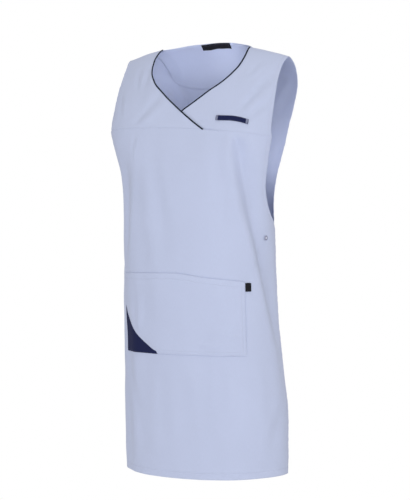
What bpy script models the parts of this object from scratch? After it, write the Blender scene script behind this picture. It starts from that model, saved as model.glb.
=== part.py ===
"""Sleeveless wrap-neck medical tunic of the tabard kind, filled out as if worn, with nobody in it.

World frame: metres, +Z up, the front faces -Y, the wearer's left is +X. The origin lies midway between
the two neck points, where the wearer's shoulders hold the tunic, so the hem is at -LENGTH.

All cloth is cut from one closed surface. A table of rings gives that surface's form at each height, and a
fall near the shoulder crest closes it over the shoulders. A place on it is named by its height and by its
girth, the distance along the ring from the centre front, positive to the wearer's left.
"""
import bpy
import bmesh
from bisect import bisect_right
from math import acos, cos, exp, hypot, pi, radians, sin
from mathutils import Vector

CM = 0.01
MM = 0.001

# Driving sizes
LENGTH = 90.9 * CM          # neck point to hem
NECK_HALF = 10.9 * CM       # centre to neck point
TIP_HALF = 19.4 * CM        # centre to the outer end of the shoulder seam
TIP_DROP = 2.1 * CM         # neck point down to the shoulder tip
TIP_ROUND = 1.15            # how the shoulder seam's drop grows outwards
NECK_RISE = 3.4 * CM        # the crest's height at the centre, above the neck points
CREST_Y_NECK = -0.5 * CM    # the shoulder crest's place front to back
CREST_Y_TIP = 0.3 * CM
CLOTH = 1.2 * MM            # wall of every cloth piece
SEAM = 0.3 * MM             # gap at each seam
LAYER = 0.5 * MM            # gap under what lies on a panel
HEM = 1.5 * CM              # depth of the turned-up hem
HEM_CLOTH = 1.0 * MM        # what the turned-up layer adds on the inside
HEM_STEP = 0.4 * MM         # half the height of the step at the turned-up layer's edge
HEM_RISE = 0.6 * CM         # how much higher the hem is at the sides
HEM_ROUND = 4               # how much of the rise is kept to the sides
UNDERLAP = 2.2 * MM         # how far the under front lies below the over front
UNDER_START = 10.5 * CM     # the under front sinks inside this place across
UNDER_TOP = -8.5 * CM       # and below this height
UNDER_FADE = 4.0 * CM       # over this length
BACK_TUCK = 3.4 * MM        # how far the back lies inside the front at the sides
TUCK_TOP = -20.0 * CM       # where the back starts to sink
TUCK_FADE = 14.0 * CM       # and over which length

# Rings of the surface: height, half width, then the Y of the centre front, of the widest place and of the
# centre back, then how boxy the front and the back half are (2 is an ellipse)
RINGS = [
    # height, half_width, front, side, back, front_round, back_round
    (4.0, 22.3, -8.8, 0.2, 8.7, 2.9, 2.3),
    (0.0, 22.1, -8.9, 0.2, 9.0, 2.9, 2.3),
    (-6.0, 21.7, -9.5, 0.0, 9.7, 2.9, 2.3),
    (-12.0, 21.3, -10.6, -0.5, 10.2, 3.0, 2.2),
    (-17.2, 20.9, -12.1, -1.2, 10.0, 3.0, 2.1),
    (-22.6, 19.3, -13.5, -2.0, 9.2, 2.65, 2.1),
    (-27.6, 17.7, -14.2, -2.7, 8.4, 2.35, 2.2),
    (-33.6, 17.1, -14.4, -3.2, 7.7, 2.25, 2.2),
    (-39.6, 17.1, -14.4, -3.3, 7.4, 2.25, 2.2),
    (-51.6, 17.4, -14.1, -2.8, 8.4, 2.25, 2.1),
    (-65.6, 18.3, -13.2, -1.2, 10.4, 2.15, 2.0),
    (-79.6, 18.9, -12.3, -0.2, 11.8, 2.10, 2.0),
    (-93.6, 18.7, -11.8, 0.0, 12.0, 2.00, 2.0),
]

# How the surface falls away from the shoulder crest: reach down, and power of the round
FRONT_FALL = (17.0 * CM, 0.72)
BACK_FALL = (6.5 * CM, 0.60)

# The wrap neck's edge from the neck point to its tail at the yoke seam
NECKLINE = [
    # across, height
    (10.9, 0.0),
    (11.1, -1.8),
    (10.8, -3.7),
    (9.9, -5.6),
    (8.2, -7.6),
    (6.0, -9.3),
    (3.1, -11.5),
    (0.1, -13.7),
    (-2.8, -15.7),
    (-5.5, -17.4),
]
CROSSING = -13.7 * CM       # height where the two fronts cross

# The front's armhole edge above the yoke seam
FRONT_ARMHOLE = [
    # across, height
    (19.4, -2.1),
    (19.0, -4.2),
    (18.95, -6.9),
    (19.1, -9.9),
    (19.2, -13.6),
    (19.25, -19.0),
]

# The lower front's free edge: round the armhole's bottom, then down the side
FRONT_EDGE = [
    # height, girth
    (-17.0, 20.9),
    (-22.6, 20.7),
    (-28.4, 20.6),
    (-30.9, 21.0),
    (-33.1, 21.7),
    (-35.3, 23.0),
    (-37.0, 24.5),
    (-38.3, 25.5),
    (-40.0, 25.8),
    (-60.0, 26.5),
    (-75.0, 27.2),
    (-91.0, 27.0),
]

# The back's free edge: round the armhole's bottom, then under the front and down
BACK_EDGE = [
    # height, girth
    (-16.0, 35.8),
    (-18.0, 36.1),
    (-20.4, 35.1),
    (-24.0, 33.0),
    (-27.0, 31.4),
    (-30.0, 30.1),
    (-33.0, 29.2),
    (-35.3, 28.6),
    (-36.8, 27.0),
    (-37.9, 24.6),
    (-38.8, 22.2),
    (-39.8, 20.6),
    (-42.0, 20.0),
    (-91.0, 20.4),
]

# The back's armhole edge above the height BACK_JOIN
BACK_ARMHOLE = [
    # across, height
    (19.4, -2.1),
    (19.4, -3.8),
    (19.2, -6.0),
    (18.8, -8.6),
    (18.1, -11.5),
    (17.4, -14.2),
    (16.75, -16.0),
]
BACK_JOIN = -16.0 * CM
BACK_NECK_RISE = 1.6 * CM   # centre of the back neck edge above the neck points

# Soft folds that fall from the yoke seam and from the armholes: where each starts and ends, how deep its
# trough is and how high the ridge beside it (both in millimetres), and their half width
FOLDS = [
    # girth_top, height_top, girth_mid, height_mid, girth_low, height_low, depth, ridge, width
    (12.6, -19.0, 15.4, -34.0, 22.0, -58.0, 4.5, 2.5, 1.7),
    (-11.6, -18.0, -10.9, -23.0, -13.2, -34.0, 3.5, 2.0, 1.5),
    (-7.6, -40.0, -7.9, -60.0, -8.6, -88.0, 1.6, 1.0, 2.2),
    (6.0, -60.0, 7.0, -75.0, 7.6, -92.0, 1.8, 1.2, 2.6),
    (36.0, -34.0, 37.5, -50.0, 38.0, -72.0, 3.0, 1.5, 2.2),
    (-36.5, -36.0, -38.0, -54.0, -39.5, -78.0, 3.2, 1.6, 2.4),
    (-44.0, -56.0, -45.5, -72.0, -46.0, -92.0, 2.6, 1.4, 2.6),
]

FOLD_LEAD = 3.0             # how far above its start a fold begins to show, in centimetres
FOLD_TAIL = 6.0             # how far below its end it runs out
FOLD_OPENING = 4.0          # length over which it opens
FOLD_CLOSING = 10.0         # least length over which it closes
RIDGE_PLACE = 1.7           # the ridge's distance from the trough, in half widths

POCKET_HALF = 15.4 * CM     # centre to each side of the patch pocket
POCKET_BOTTOM = -64.6 * CM
POCKET_TOP = [
    # girth, height
    (-15.6, -47.9),
    (0.0, -47.5),
    (7.3, -48.3),
    (15.6, -49.1),
]
INSET_EDGE = [
    # girth, height
    (-15.4, -54.6),
    (-14.6, -55.9),
    (-13.0, -58.0),
    (-11.5, -59.7),
    (-9.8, -61.2),
    (-7.8, -62.6),
    (-5.9, -63.7),
    (-4.3, -64.4),
]
INSET_END = -4.7 * CM       # where the corner piece runs out along the pocket's bottom

WELT_INNER = 8.4 * CM
WELT_OUTER = 15.3 * CM
WELT_DEPTH = 0.95 * CM
WELT_TOP = [
    # across, height
    (8.4, -14.6),
    (11.7, -14.7),
    (13.6, -15.0),
    (15.3, -15.5),
]
TAB_WIDTH = 1.35 * CM
TAB_DEPTH = 1.7 * CM
TAB_TOP = -49.4 * CM
LABEL_WIDTH = 6.6 * CM
LABEL_DEPTH = 1.1 * CM
LABEL_ACROSS = -0.5 * CM    # the label's centre
LABEL_DROP = 0.3 * MM       # its top below the neck edge
LABEL_LIFT = 3.0 * MM       # its outer face inwards from the back's middle surface
LABEL_CLOTH = 1.0 * MM
FACING_HALF = 13.7 * CM     # half width of the half-moon facing
FACING_LOW = -8.2 * CM      # its lowest edge
FACING_ROUND = 5.0          # how boxy its lower edge is
FACING_DROP = 0.5 * MM      # its top below the neck edge
FACING_MARGIN = 0.1 * CM    # how much of its pointed ends is cut off
FACING_LIFT = 1.5 * MM      # its outer face inwards from the back's middle surface
FACING_CLOTH = 1.0 * MM
STUD_GIRTH = 21.5 * CM
STUD_HEIGHT = -40.1 * CM
STUD_RADIUS = 5.5 * MM
STUD_RISE = 1.8 * MM
PIPING_WIDTH = 2.6 * MM
PIPING_DEPTH = 1.8 * MM
PIPING_RUN = 1.2 * CM       # how far the under front's piping runs on below the crossing

# A press stud's turned profile
STUD_PROFILE = [
    # share of the radius, share of the rise
    (1.0, 0.0),
    (1.0, 0.45),
    (0.88, 0.85),
    (0.66, 1.0),
    (0.52, 0.72),
    (0.30, 0.68),
]

# Colour, roughness and metallic of each material
LIGHT_BLUE = ((0.50, 0.56, 0.75), 0.85, 0.0)
NAVY = ((0.020, 0.024, 0.085), 0.80, 0.0)
PIPING_NAVY = ((0.026, 0.034, 0.070), 0.70, 0.0)
LABEL_BLACK = ((0.010, 0.012, 0.020), 0.75, 0.0)
STUD_PLASTIC = ((0.62, 0.68, 0.82), 0.35, 0.0)

# Fineness of the solids
RING_STEPS = 240
YOKE_ACROSS = 12
YOKE_DOWN = 14
YOKE_SPACING = 1.45         # how much closer a yoke's rows lie towards the shoulder
POCKET_COLUMNS = 8          # columns from the centre to the pocket's side
SIDE_COLUMNS = 5            # and from there to the front's free edge
SEAM_ROWS = 3               # rows of the lower front that follow the yoke seam
NECK_COLUMNS = 7            # the back's columns from the centre to the neck point
SHOULDER_COLUMNS = 6        # and from there to the armhole
BACK_TOP_ROWS = 14
FLAT_SHARE = 0.5            # how much less closely rows follow each other below the shoulder's round
COLUMN_FADE = 14.0 * CM     # length over which the back's columns spread evenly below BACK_JOIN
FACING_ROWS = 10
POCKET_ROWS = 6
STRIP_COLUMNS = 8           # columns of the welt and of the label
LABEL_ROWS = 2
INSET_ROWS = 4
INSET_COLUMNS = 6
PIPING_SIDES = 8
STUD_SIDES = 20
SHARP_ANGLE = 50            # edges over this many degrees are sharp
RING_SPAN = 2 * MM          # half the distance over which a normal is measured on the rings
VIEW_SPAN = 0.5 * MM        # and at a place given as seen from the front
CREST_REACH = 0.2 * MM      # a place this close under the crest lies on it

# Heights of the rows of the lower front and of the back, in centimetres
FRONT_ROWS = [-19.5, -21.5, -23.5, -26.0, -28.5, -31.0, -33.1, -35.0, -36.6, -37.7, -38.5, -40.2, -43.0,
              -47.0, -51.0, -55.0, -59.0, -63.0, -68.0, -74.0, -80.0, -85.5]
BACK_ROWS = [-17.5, -19.5, -22.0, -24.5, -27.0, -29.5, -32.0, -34.0, -35.5, -36.7, -37.4, -38.0, -38.6,
             -39.4, -40.6, -43.0, -47.0, -52.0, -57.0, -62.0, -68.0, -74.0, -80.0, -85.5]


def spline(rows, key):
    """Smooth curve through a table's rows, read at key of its first column, with no overshoot."""
    xs = [row[0] for row in rows]
    if xs[0] > xs[-1]:
        rows = rows[::-1]
        xs = xs[::-1]
    spot = min(max(bisect_right(xs, key) - 1, 0), len(xs) - 2)
    span = xs[spot + 1] - xs[spot]
    part = min(max((key - xs[spot]) / span, 0.0), 1.0)
    values = []
    for column in range(1, len(rows[0])):
        ys = [row[column] for row in rows]
        start = tangent(xs, ys, spot) * span
        end = tangent(xs, ys, spot + 1) * span
        square = part * part
        cube = square * part
        values.append((2 * cube - 3 * square + 1) * ys[spot] + (cube - 2 * square + part) * start
                      + (3 * square - 2 * cube) * ys[spot + 1] + (cube - square) * end)
    return values


def tangent(xs, ys, spot):
    """Slope at one row that keeps the curve between its neighbours."""
    last = len(xs) - 1
    if spot in (0, last):
        near = 1 if spot == 0 else last
        return (ys[near] - ys[near - 1]) / (xs[near] - xs[near - 1])
    before = (ys[spot] - ys[spot - 1]) / (xs[spot] - xs[spot - 1])
    after = (ys[spot + 1] - ys[spot]) / (xs[spot + 1] - xs[spot])
    if before * after <= 0:
        return 0.0
    return 2 * before * after / (before + after)


def table(rows, key):
    """One value in metres from a two-column table in centimetres."""
    return spline(rows, key / CM)[0] * CM


def smooth_step(part):
    """0 to 1 with soft ends."""
    part = min(max(part, 0.0), 1.0)
    return part * part * (3 - 2 * part)


def blend(a, b, part):
    return a + (b - a) * part


def path_point(rows, part):
    """Place on a drawn edge (a list of across and height in centimetres), by its share of the length."""
    lengths = [0.0]
    for a, b in zip(rows, rows[1:]):
        lengths.append(lengths[-1] + hypot(b[0] - a[0], b[1] - a[1]))
    keyed = [(length,) + tuple(row) for length, row in zip(lengths, rows)]
    across, height = spline(keyed, part * lengths[-1])
    return across * CM, height * CM


def ring_row(height):
    half, front, side, back, front_round, back_round = spline(RINGS, height / CM)
    return half * CM, front * CM, side * CM, back * CM, front_round, back_round


def crest(across):
    """Height and Y of the shoulder crest."""
    reach = abs(across)
    if reach < NECK_HALF:
        return NECK_RISE * (1 - (reach / NECK_HALF) ** 2), CREST_Y_NECK
    part = (reach - NECK_HALF) / (TIP_HALF - NECK_HALF)
    return -TIP_DROP * part ** TIP_ROUND, blend(CREST_Y_NECK, CREST_Y_TIP, min(part, 1.0))


def fall(drop, reach, power):
    part = min(max(drop / reach, 0.0), 1.0)
    return (1 - (1 - part) ** 2) ** power


def depth_at(across, height, front):
    """Y of the surface's front or back half at a place seen from the front."""
    half, front_y, side_y, back_y, front_round, back_round = ring_row(height)
    power = front_round if front else back_round
    end = front_y if front else back_y
    share = max(0.0, 1 - min(abs(across) / half, 1.0) ** power) ** (1 / power)
    full = side_y + (end - side_y) * share
    crest_height, crest_y = crest(across)
    return crest_y + (full - crest_y) * fall(crest_height - height, *(FRONT_FALL if front else BACK_FALL))


ring_store = {}


def ring_line(height):
    """Points of the half ring on the wearer's left, from centre front to centre back, and their girths."""
    key = round(height, 7)
    if key not in ring_store:
        half, front_y, side_y, back_y, front_round, back_round = ring_row(height)
        points = []
        for step in range(RING_STEPS + 1):
            angle = pi * step / RING_STEPS
            front = step <= RING_STEPS // 2
            power = 2 / (front_round if front else back_round)
            end = front_y if front else back_y
            depth = side_y + (end - side_y) * abs(cos(angle)) ** power
            points.append((half * abs(sin(angle)) ** power, depth))
        girths = [0.0]
        for a, b in zip(points, points[1:]):
            girths.append(girths[-1] + hypot(b[0] - a[0], b[1] - a[1]))
        ring_store[key] = points, girths
    return ring_store[key]


def half_girth(height):
    return ring_line(height)[1][-1]


def on_ring(girth, height):
    """The surface's point at a girth and a height, below the shoulders' fall."""
    points, girths = ring_line(height)
    reach = min(abs(girth), girths[-1])
    spot = min(max(bisect_right(girths, reach) - 1, 0), len(girths) - 2)
    part = (reach - girths[spot]) / max(girths[spot + 1] - girths[spot], 1e-9)
    across = blend(points[spot][0], points[spot + 1][0], part)
    depth = blend(points[spot][1], points[spot + 1][1], part)
    return Vector((across if girth >= 0 else -across, depth, height))


def ring_place(girth, height):
    """Point and outward normal at a girth and a height."""
    point = on_ring(girth, height)
    across = on_ring(girth + RING_SPAN, height) - on_ring(girth - RING_SPAN, height)
    up = on_ring(girth, height + RING_SPAN) - on_ring(girth, height - RING_SPAN)
    return point, across.cross(up).normalized()


def girth_of(across, height):
    """Girth of a place on the back's left half that is given as seen from the front."""
    points, girths = ring_line(height)
    depth = depth_at(across, height, False)
    spots = range(RING_STEPS // 2, RING_STEPS + 1)
    best = min(spots, key=lambda i: hypot(points[i][0] - across, points[i][1] - depth))
    return girths[best]


def view_place(across, height, front):
    """Point and outward normal at a place that is given as seen from the front."""
    step = VIEW_SPAN
    crest_height, crest_y = crest(across)
    height = min(height, crest_height)
    point = Vector((across, depth_at(across, height, front), height))
    facing = -1 if front else 1
    if crest_height - height < CREST_REACH:
        slope = (crest(abs(across) + step)[0] - crest(abs(across) - step)[0]) / (2 * step)
        normal = Vector((-slope if across >= 0 else slope, 0, 1)).normalized()
        return Vector((across, crest_y + facing * SEAM / 2, crest_height)), normal
    low = min(step, (crest_height - height) / 2)
    by_across = (depth_at(across + step, height, front) - depth_at(across - step, height, front)) / (2 * step)
    by_height = (depth_at(across, height + low, front) - depth_at(across, height - low, front)) / (2 * low)
    normal = Vector((-by_across, 1, -by_height)) * facing
    return point, normal.normalized()


def seam_height(girth):
    """Height of the yoke seam, which dips towards the armholes and a little to the wearer's left."""
    share = girth / CM
    return (-17.2 - 0.035 * share - 0.0025 * share * share) * CM


def fold_rise(girth, height):
    """How far the folds move the cloth along its normal."""
    rise = 0.0
    for row in FOLDS:
        g_top, h_top, g_mid, h_mid, g_low, h_low, depth, ridge, width = row
        h = height / CM
        start = h_top + FOLD_LEAD
        end = h_low - FOLD_TAIL
        if not end < h < start:
            continue
        line = spline([(h_low, g_low), (h_mid, g_mid), (h_top, g_top)], h)[0]
        aside = (girth / CM - line) / width * (1 if g_top >= 0 else -1)
        closing = max(FOLD_CLOSING, (h_top - h_low) / 2)
        fade = smooth_step((start - h) / FOLD_OPENING) * smooth_step((h - end) / closing)
        rise += fade * (ridge * exp(-(aside - RIDGE_PLACE) ** 2) - depth * exp(-aside ** 2)) * MM
    return rise


def hem_rise(girth, height):
    """How much higher the hem's rows are than at the centre front and the centre back."""
    return HEM_RISE * sin(pi * girth / half_girth(height)) ** HEM_ROUND


def wall(name, rows, out, inner, material, extra=None):
    """A closed cloth wall through a grid of (point, normal) pairs.

    out and inner are distances along the normal to the wall's two faces; extra(row, column) adds to both.
    """
    shape = bmesh.new()
    tall = len(rows)
    wide = len(rows[0])
    layers = []
    for distance in (out, inner):
        layer = []
        for i, row in enumerate(rows):
            line = []
            for j, (point, normal) in enumerate(row):
                shift = distance(i, j) if callable(distance) else distance
                shift += extra(i, j) if extra else 0.0
                line.append(shape.verts.new(point + normal * shift))
            layer.append(line)
        layers.append(layer)
    outer, under = layers
    for i in range(tall - 1):
        for j in range(wide - 1):
            shape.faces.new((outer[i][j], outer[i + 1][j], outer[i + 1][j + 1], outer[i][j + 1]))
            shape.faces.new((under[i][j], under[i][j + 1], under[i + 1][j + 1], under[i + 1][j]))
    rim = [(0, j) for j in range(wide)] + [(i, wide - 1) for i in range(1, tall)]
    rim += [(tall - 1, j) for j in range(wide - 2, -1, -1)] + [(i, 0) for i in range(tall - 2, 0, -1)]
    for (i, j), (k, m) in zip(rim, rim[1:] + rim[:1]):
        shape.faces.new((outer[i][j], outer[k][m], under[k][m], under[i][j]))
    put_object(name, shape, material)


def put_object(name, shape, material):
    """Makes the closed shape into a named object."""
    bmesh.ops.recalc_face_normals(shape, faces=shape.faces)
    bmesh.ops.triangulate(shape, faces=shape.faces)
    mesh = bpy.data.meshes.new(name)
    shape.to_mesh(mesh)
    shape.free()
    mesh.shade_smooth()
    mesh.set_sharp_from_angle(angle=radians(SHARP_ANGLE))
    mesh.materials.append(make_material(name, *material))
    bpy.context.scene.collection.objects.link(bpy.data.objects.new(name, mesh))


def make_material(name, colour, roughness, metallic):
    material = bpy.data.materials.new(name)
    material.use_nodes = True
    shader = material.node_tree.nodes["Principled BSDF"]
    shader.inputs["Base Color"].default_value = (*colour, 1)
    shader.inputs["Roughness"].default_value = roughness
    shader.inputs["Metallic"].default_value = metallic
    return material


def steps(count, low, high):
    """Evenly spaced values from low to high, both included."""
    return [blend(low, high, i / count) for i in range(count + 1)]


def yoke_seam_point(side, part):
    """Place on the yoke seam, from a front's tail at 0 to its armhole at 1, across from its own side."""
    girth = side * blend(NECKLINE[-1][0] * CM, FRONT_EDGE[0][1] * CM, part)
    height = seam_height(girth) + SEAM / 2
    return side * on_ring(girth, height).x, height


def yoke_plane(side, across_share, down_share):
    """Place on a yoke as seen from the front, filled in between its four drawn edges.

    side is 1 for the wearer's left front and -1 for the right one.
    """
    arm_across, arm_height = path_point(FRONT_ARMHOLE, down_share)
    neck_across, neck_height = path_point(NECKLINE, down_share)
    seam_across, seam_at = yoke_seam_point(side, across_share)
    top_across = blend(NECK_HALF, TIP_HALF, across_share)
    inner_across, inner_height = yoke_seam_point(side, 0.0)
    outer_across, outer_height = yoke_seam_point(side, 1.0)
    neck_end = path_point(NECKLINE, 1.0)
    arm_end = path_point(FRONT_ARMHOLE, 1.0)
    neck = (neck_across + (inner_across - neck_end[0]) * down_share,
            neck_height + (inner_height - neck_end[1]) * down_share)
    arm = (arm_across + (outer_across - arm_end[0]) * down_share,
           arm_height + (outer_height - arm_end[1]) * down_share)
    top = (top_across, crest(top_across)[0])
    low = (seam_across, seam_at)
    corners = ((NECK_HALF, 0.0), (TIP_HALF, -TIP_DROP), (inner_across, inner_height),
               (outer_across, outer_height))
    place = []
    for axis in (0, 1):
        a, b, c, d = (corner[axis] for corner in corners)
        flat = blend(blend(a, b, across_share), blend(c, d, across_share), down_share)
        edges = blend(neck[axis], arm[axis], across_share) + blend(top[axis], low[axis], down_share)
        place.append(edges - flat)
    return side * place[0], place[1]


def under_shift(across, height):
    """How far the under front sinks where the over front crosses it."""
    beside = smooth_step((UNDER_START - across) / UNDER_FADE)
    below = smooth_step((UNDER_TOP - height) / UNDER_FADE)
    return -UNDERLAP * beside * below


def yoke_grid(side):
    """Places of one yoke's grid: rows from the shoulder seam down, columns from the neck outwards."""
    rows = []
    for i in range(YOKE_DOWN + 1):
        down = (i / YOKE_DOWN) ** YOKE_SPACING
        row = []
        for j in range(YOKE_ACROSS + 1):
            row.append(yoke_plane(side, j / YOKE_ACROSS, down))
        rows.append(row)
    return rows


def yoke_shift(side, across, height):
    return under_shift(across, height) if side > 0 else 0.0


def make_yokes():
    for side, name in ((-1, "front_yoke_right"), (1, "front_yoke_left")):
        places = yoke_grid(side)
        rows = [[view_place(across, height, True) for across, height in row] for row in places]
        wall(name, rows, CLOTH / 2, -CLOTH / 2, LIGHT_BLUE,
             lambda i, j, places=places, side=side: yoke_shift(side, *places[i][j]))


def make_piping():
    """A soft strip beside each front's neck edge."""
    for side, name in ((-1, "piping_right"), (1, "piping_left")):
        places = yoke_grid(side)
        stations = []
        for row in places:
            point, normal = view_place(*row[0], True)
            inward = view_place(*row[1], True)[0] - point
            centre = point + normal * yoke_shift(side, *row[0])
            stations.append([centre, normal, inward])
        if side > 0:
            stations = [station for station in stations if station[0].z > CROSSING - PIPING_RUN]
        sweep(name, stations)


def sweep(name, stations):
    """An oval strip along the stations, which give a wall's edge, its normal and the way into the cloth."""
    shape = bmesh.new()
    loops = []
    for i, (centre, normal, inward) in enumerate(stations):
        before = stations[max(i - 1, 0)][0]
        after = stations[min(i + 1, len(stations) - 1)][0]
        along = (after - before).normalized()
        aside = normal.cross(along).normalized()
        if aside.dot(inward) > 0:
            aside = -aside
        up = along.cross(aside).normalized()
        middle = centre + aside * (PIPING_WIDTH / 2 + SEAM)
        loop = []
        for step in range(PIPING_SIDES):
            angle = 2 * pi * (step + 0.5) / PIPING_SIDES
            loop.append(shape.verts.new(middle + aside * cos(angle) * PIPING_WIDTH / 2
                                        + up * sin(angle) * PIPING_DEPTH / 2))
        loops.append(loop)
    for a, b in zip(loops, loops[1:]):
        for step in range(PIPING_SIDES):
            after = (step + 1) % PIPING_SIDES
            shape.faces.new((a[step], a[after], b[after], b[step]))
    shape.faces.new(loops[0])
    shape.faces.new(loops[-1])
    put_object(name, shape, PIPING_NAVY)


def front_girths(edge):
    """Column girths of the lower front: fixed over the pocket, spread from there to the free edge."""
    inner = steps(POCKET_COLUMNS, 0.0, POCKET_HALF)
    outer = steps(SIDE_COLUMNS, POCKET_HALF, edge)[1:]
    half = inner + outer
    return [-g for g in half[:0:-1]] + half


def hem_heights():
    """The last three rows of a panel: the step at the turned-up layer's edge, then the hem."""
    hem_top = -LENGTH + HEM
    return [hem_top + HEM_STEP, hem_top - HEM_STEP, -LENGTH]


def wall_with_hem(name, rows, extra):
    """A panel that is thicker on the inside in its last two rows, where its hem is turned up."""
    first_hem = len(rows) - 2

    def inner(i, j):
        return -CLOTH / 2 - (HEM_CLOTH if i >= first_hem else 0.0)

    wall(name, rows, CLOTH / 2, inner, LIGHT_BLUE, extra)


def make_front_panel():
    top_edge = table(FRONT_EDGE, FRONT_ROWS[0] * CM)
    places = [[(g, seam_height(g) - SEAM / 2) for g in front_girths(top_edge)]]
    for k, height in enumerate([h * CM for h in FRONT_ROWS]):
        ease = max(0.0, 1 - k / SEAM_ROWS)
        girths = front_girths(table(FRONT_EDGE, height))
        places.append([(g, height + (seam_height(g) - seam_height(0)) * ease) for g in girths])
    for height in hem_heights():
        girths = front_girths(table(FRONT_EDGE, height))
        places.append([(g, height + hem_rise(g, height)) for g in girths])
    rows = [[ring_place(g, h) for g, h in line] for line in places]
    wall_with_hem("front_panel", rows, lambda i, j: fold_rise(*places[i][j]))


def back_shift(height):
    return -BACK_TUCK * smooth_step((TUCK_TOP - height) / TUCK_FADE)


def back_top(across):
    """Height of the back's upper edge: the neck edge, then the shoulder seam."""
    reach = abs(across)
    if reach >= NECK_HALF:
        return crest(across)[0]
    return BACK_NECK_RISE * (1 - (reach / NECK_HALF) ** 2)


def back_shares():
    """Column places of the back as shares of its half width, with one at the neck point."""
    neck = NECK_HALF / TIP_HALF
    inner = steps(NECK_COLUMNS, 0.0, neck)
    outer = steps(SHOULDER_COLUMNS, neck, 1.0)[1:]
    half = inner + outer
    return [-share for share in half[:0:-1]] + half


def round_length(drop):
    """Rows' spacing measure below the shoulder crest: an arc's length on the round, less on the flat."""
    reach = BACK_FALL[0]
    if drop < reach:
        return reach * acos(max(1 - drop / reach, -1.0))
    return reach * pi / 2 + (drop - reach) * FLAT_SHARE


def round_drop(length):
    """The drop below the crest that has a given spacing measure."""
    reach = BACK_FALL[0]
    if length < reach * pi / 2:
        return reach * (1 - cos(length / reach))
    return reach + (length - reach * pi / 2) / FLAT_SHARE


def round_height(across, top, low, part):
    """Height at a share of the way from top to low on the back, close set on the shoulder's round."""
    crest_height = max(crest(across)[0], top)
    start = round_length(crest_height - top)
    return crest_height - round_drop(blend(start, round_length(crest_height - low), part))


def back_upper_place(share, part):
    """Place on the back above BACK_JOIN, as seen from the front."""
    edge_height = round_height(TIP_HALF, -TIP_DROP, BACK_JOIN, part)
    edge_across = table([(height, across) for across, height in BACK_ARMHOLE], edge_height)
    return share * edge_across, round_height(share * TIP_HALF, back_top(share * TIP_HALF), BACK_JOIN, part)


def back_lower_girth(share, height):
    """Girth of a back column below BACK_JOIN; the centre back is half the ring's girth away."""
    half = half_girth(height)
    edge = table(BACK_EDGE, height)
    level = half - abs(share) * (half - edge)
    join_half = half_girth(BACK_JOIN)
    seen = girth_of(abs(share) * BACK_ARMHOLE[-1][0] * CM, BACK_JOIN)
    join_edge = table(BACK_EDGE, BACK_JOIN)
    join_share = (join_half - seen) / (join_half - join_edge)
    started = half - join_share * (half - edge)
    girth = blend(started, level, smooth_step((BACK_JOIN - height) / COLUMN_FADE))
    return girth if share >= 0 else -girth


def centre_back(height):
    """Point and outward normal on the centre back."""
    slope = (ring_row(height + RING_SPAN)[3] - ring_row(height - RING_SPAN)[3]) / (2 * RING_SPAN)
    return Vector((0, ring_row(height)[3], height)), Vector((0, 1, -slope)).normalized()


def make_back_panel():
    shares = back_shares()
    rows = []
    shifts = []
    for i in range(BACK_TOP_ROWS + 1):
        places = [back_upper_place(share, i / BACK_TOP_ROWS) for share in shares]
        rows.append([view_place(across, height, False) for across, height in places])
        shifts.append([back_shift(height) for across, height in places])
    heights = [h * CM for h in BACK_ROWS] + hem_heights()
    for k, height in enumerate(heights):
        girths = [back_lower_girth(share, height) for share in shares]
        lifts = [hem_rise(g, height) if k >= len(BACK_ROWS) else 0.0 for g in girths]
        places = [(g, height + lift) for g, lift in zip(girths, lifts)]
        rows.append([ring_place(g, h) if share else centre_back(h) for share, (g, h) in zip(shares, places)])
        shifts.append([back_shift(height) + fold_rise(g, h) for g, h in places])
    wall_with_hem("back_panel", rows, lambda i, j: shifts[i][j])


def facing_low(across):
    """Height of the half-moon's lower edge."""
    share = abs(across) / FACING_HALF
    return FACING_LOW * (1 - share ** FACING_ROUND) ** (1 / FACING_ROUND)


def make_facing():
    """Half-moon facing inside the back neck, from just under the neck edge and the shoulder seam."""
    side = FACING_HALF - FACING_MARGIN
    inside = [share * TIP_HALF for share in back_shares() if abs(share) * TIP_HALF < side - 2 * FACING_MARGIN]
    rows = []
    for i in range(FACING_ROWS + 1):
        row = []
        for across in [-side] + inside + [side]:
            top = back_top(across) - FACING_DROP
            height = round_height(across, top, facing_low(across), i / FACING_ROWS)
            row.append(view_place(across, height, False))
        rows.append(row)
    wall("back_neck_facing", rows, -FACING_LIFT, -FACING_LIFT - FACING_CLOTH, LIGHT_BLUE)


def make_label():
    rows = []
    for down in steps(LABEL_ROWS, 0.0, LABEL_DEPTH):
        row = []
        for across in steps(STRIP_COLUMNS, LABEL_ACROSS - LABEL_WIDTH / 2, LABEL_ACROSS + LABEL_WIDTH / 2):
            row.append(view_place(across, back_top(across) - LABEL_DROP - down, False))
        rows.append(row)
    wall("neck_label", rows, -LABEL_LIFT, -LABEL_LIFT - LABEL_CLOTH, LABEL_BLACK)


def patch(name, places, material):
    """A piece that lies on the front panel; places is a grid of (girth, height)."""
    rows = [[ring_place(g, h) for g, h in line] for line in places]
    lift = CLOTH / 2 + LAYER
    wall(name, rows, lift + CLOTH, lift, material, lambda i, j: fold_rise(*places[i][j]))


def make_pocket():
    girths = steps(2 * POCKET_COLUMNS, -POCKET_HALF, POCKET_HALF)
    tops = [table(POCKET_TOP, g) for g in girths]
    lows = [table(INSET_EDGE, g) if g < INSET_END else POCKET_BOTTOM for g in girths]
    edges = list(zip(girths, tops, lows))
    places = [[(g, blend(top, low, part)) for g, top, low in edges] for part in steps(POCKET_ROWS, 0, 1)]
    patch("front_pocket", places, LIGHT_BLUE)


def make_inset():
    """The dark corner piece, under the pocket's curved edge and down to its bottom edge."""
    column = POCKET_HALF / POCKET_COLUMNS
    girths = [-POCKET_HALF + column * i for i in range(INSET_COLUMNS)] + [INSET_END]
    edges = [(g, table(INSET_EDGE, g) - 2 * SEAM) for g in girths]
    low = POCKET_BOTTOM - LAYER
    places = [[(g, blend(top, low, part)) for g, top in edges] for part in steps(INSET_ROWS, 0, 1)]
    patch("pocket_inset", places, NAVY)


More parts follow.
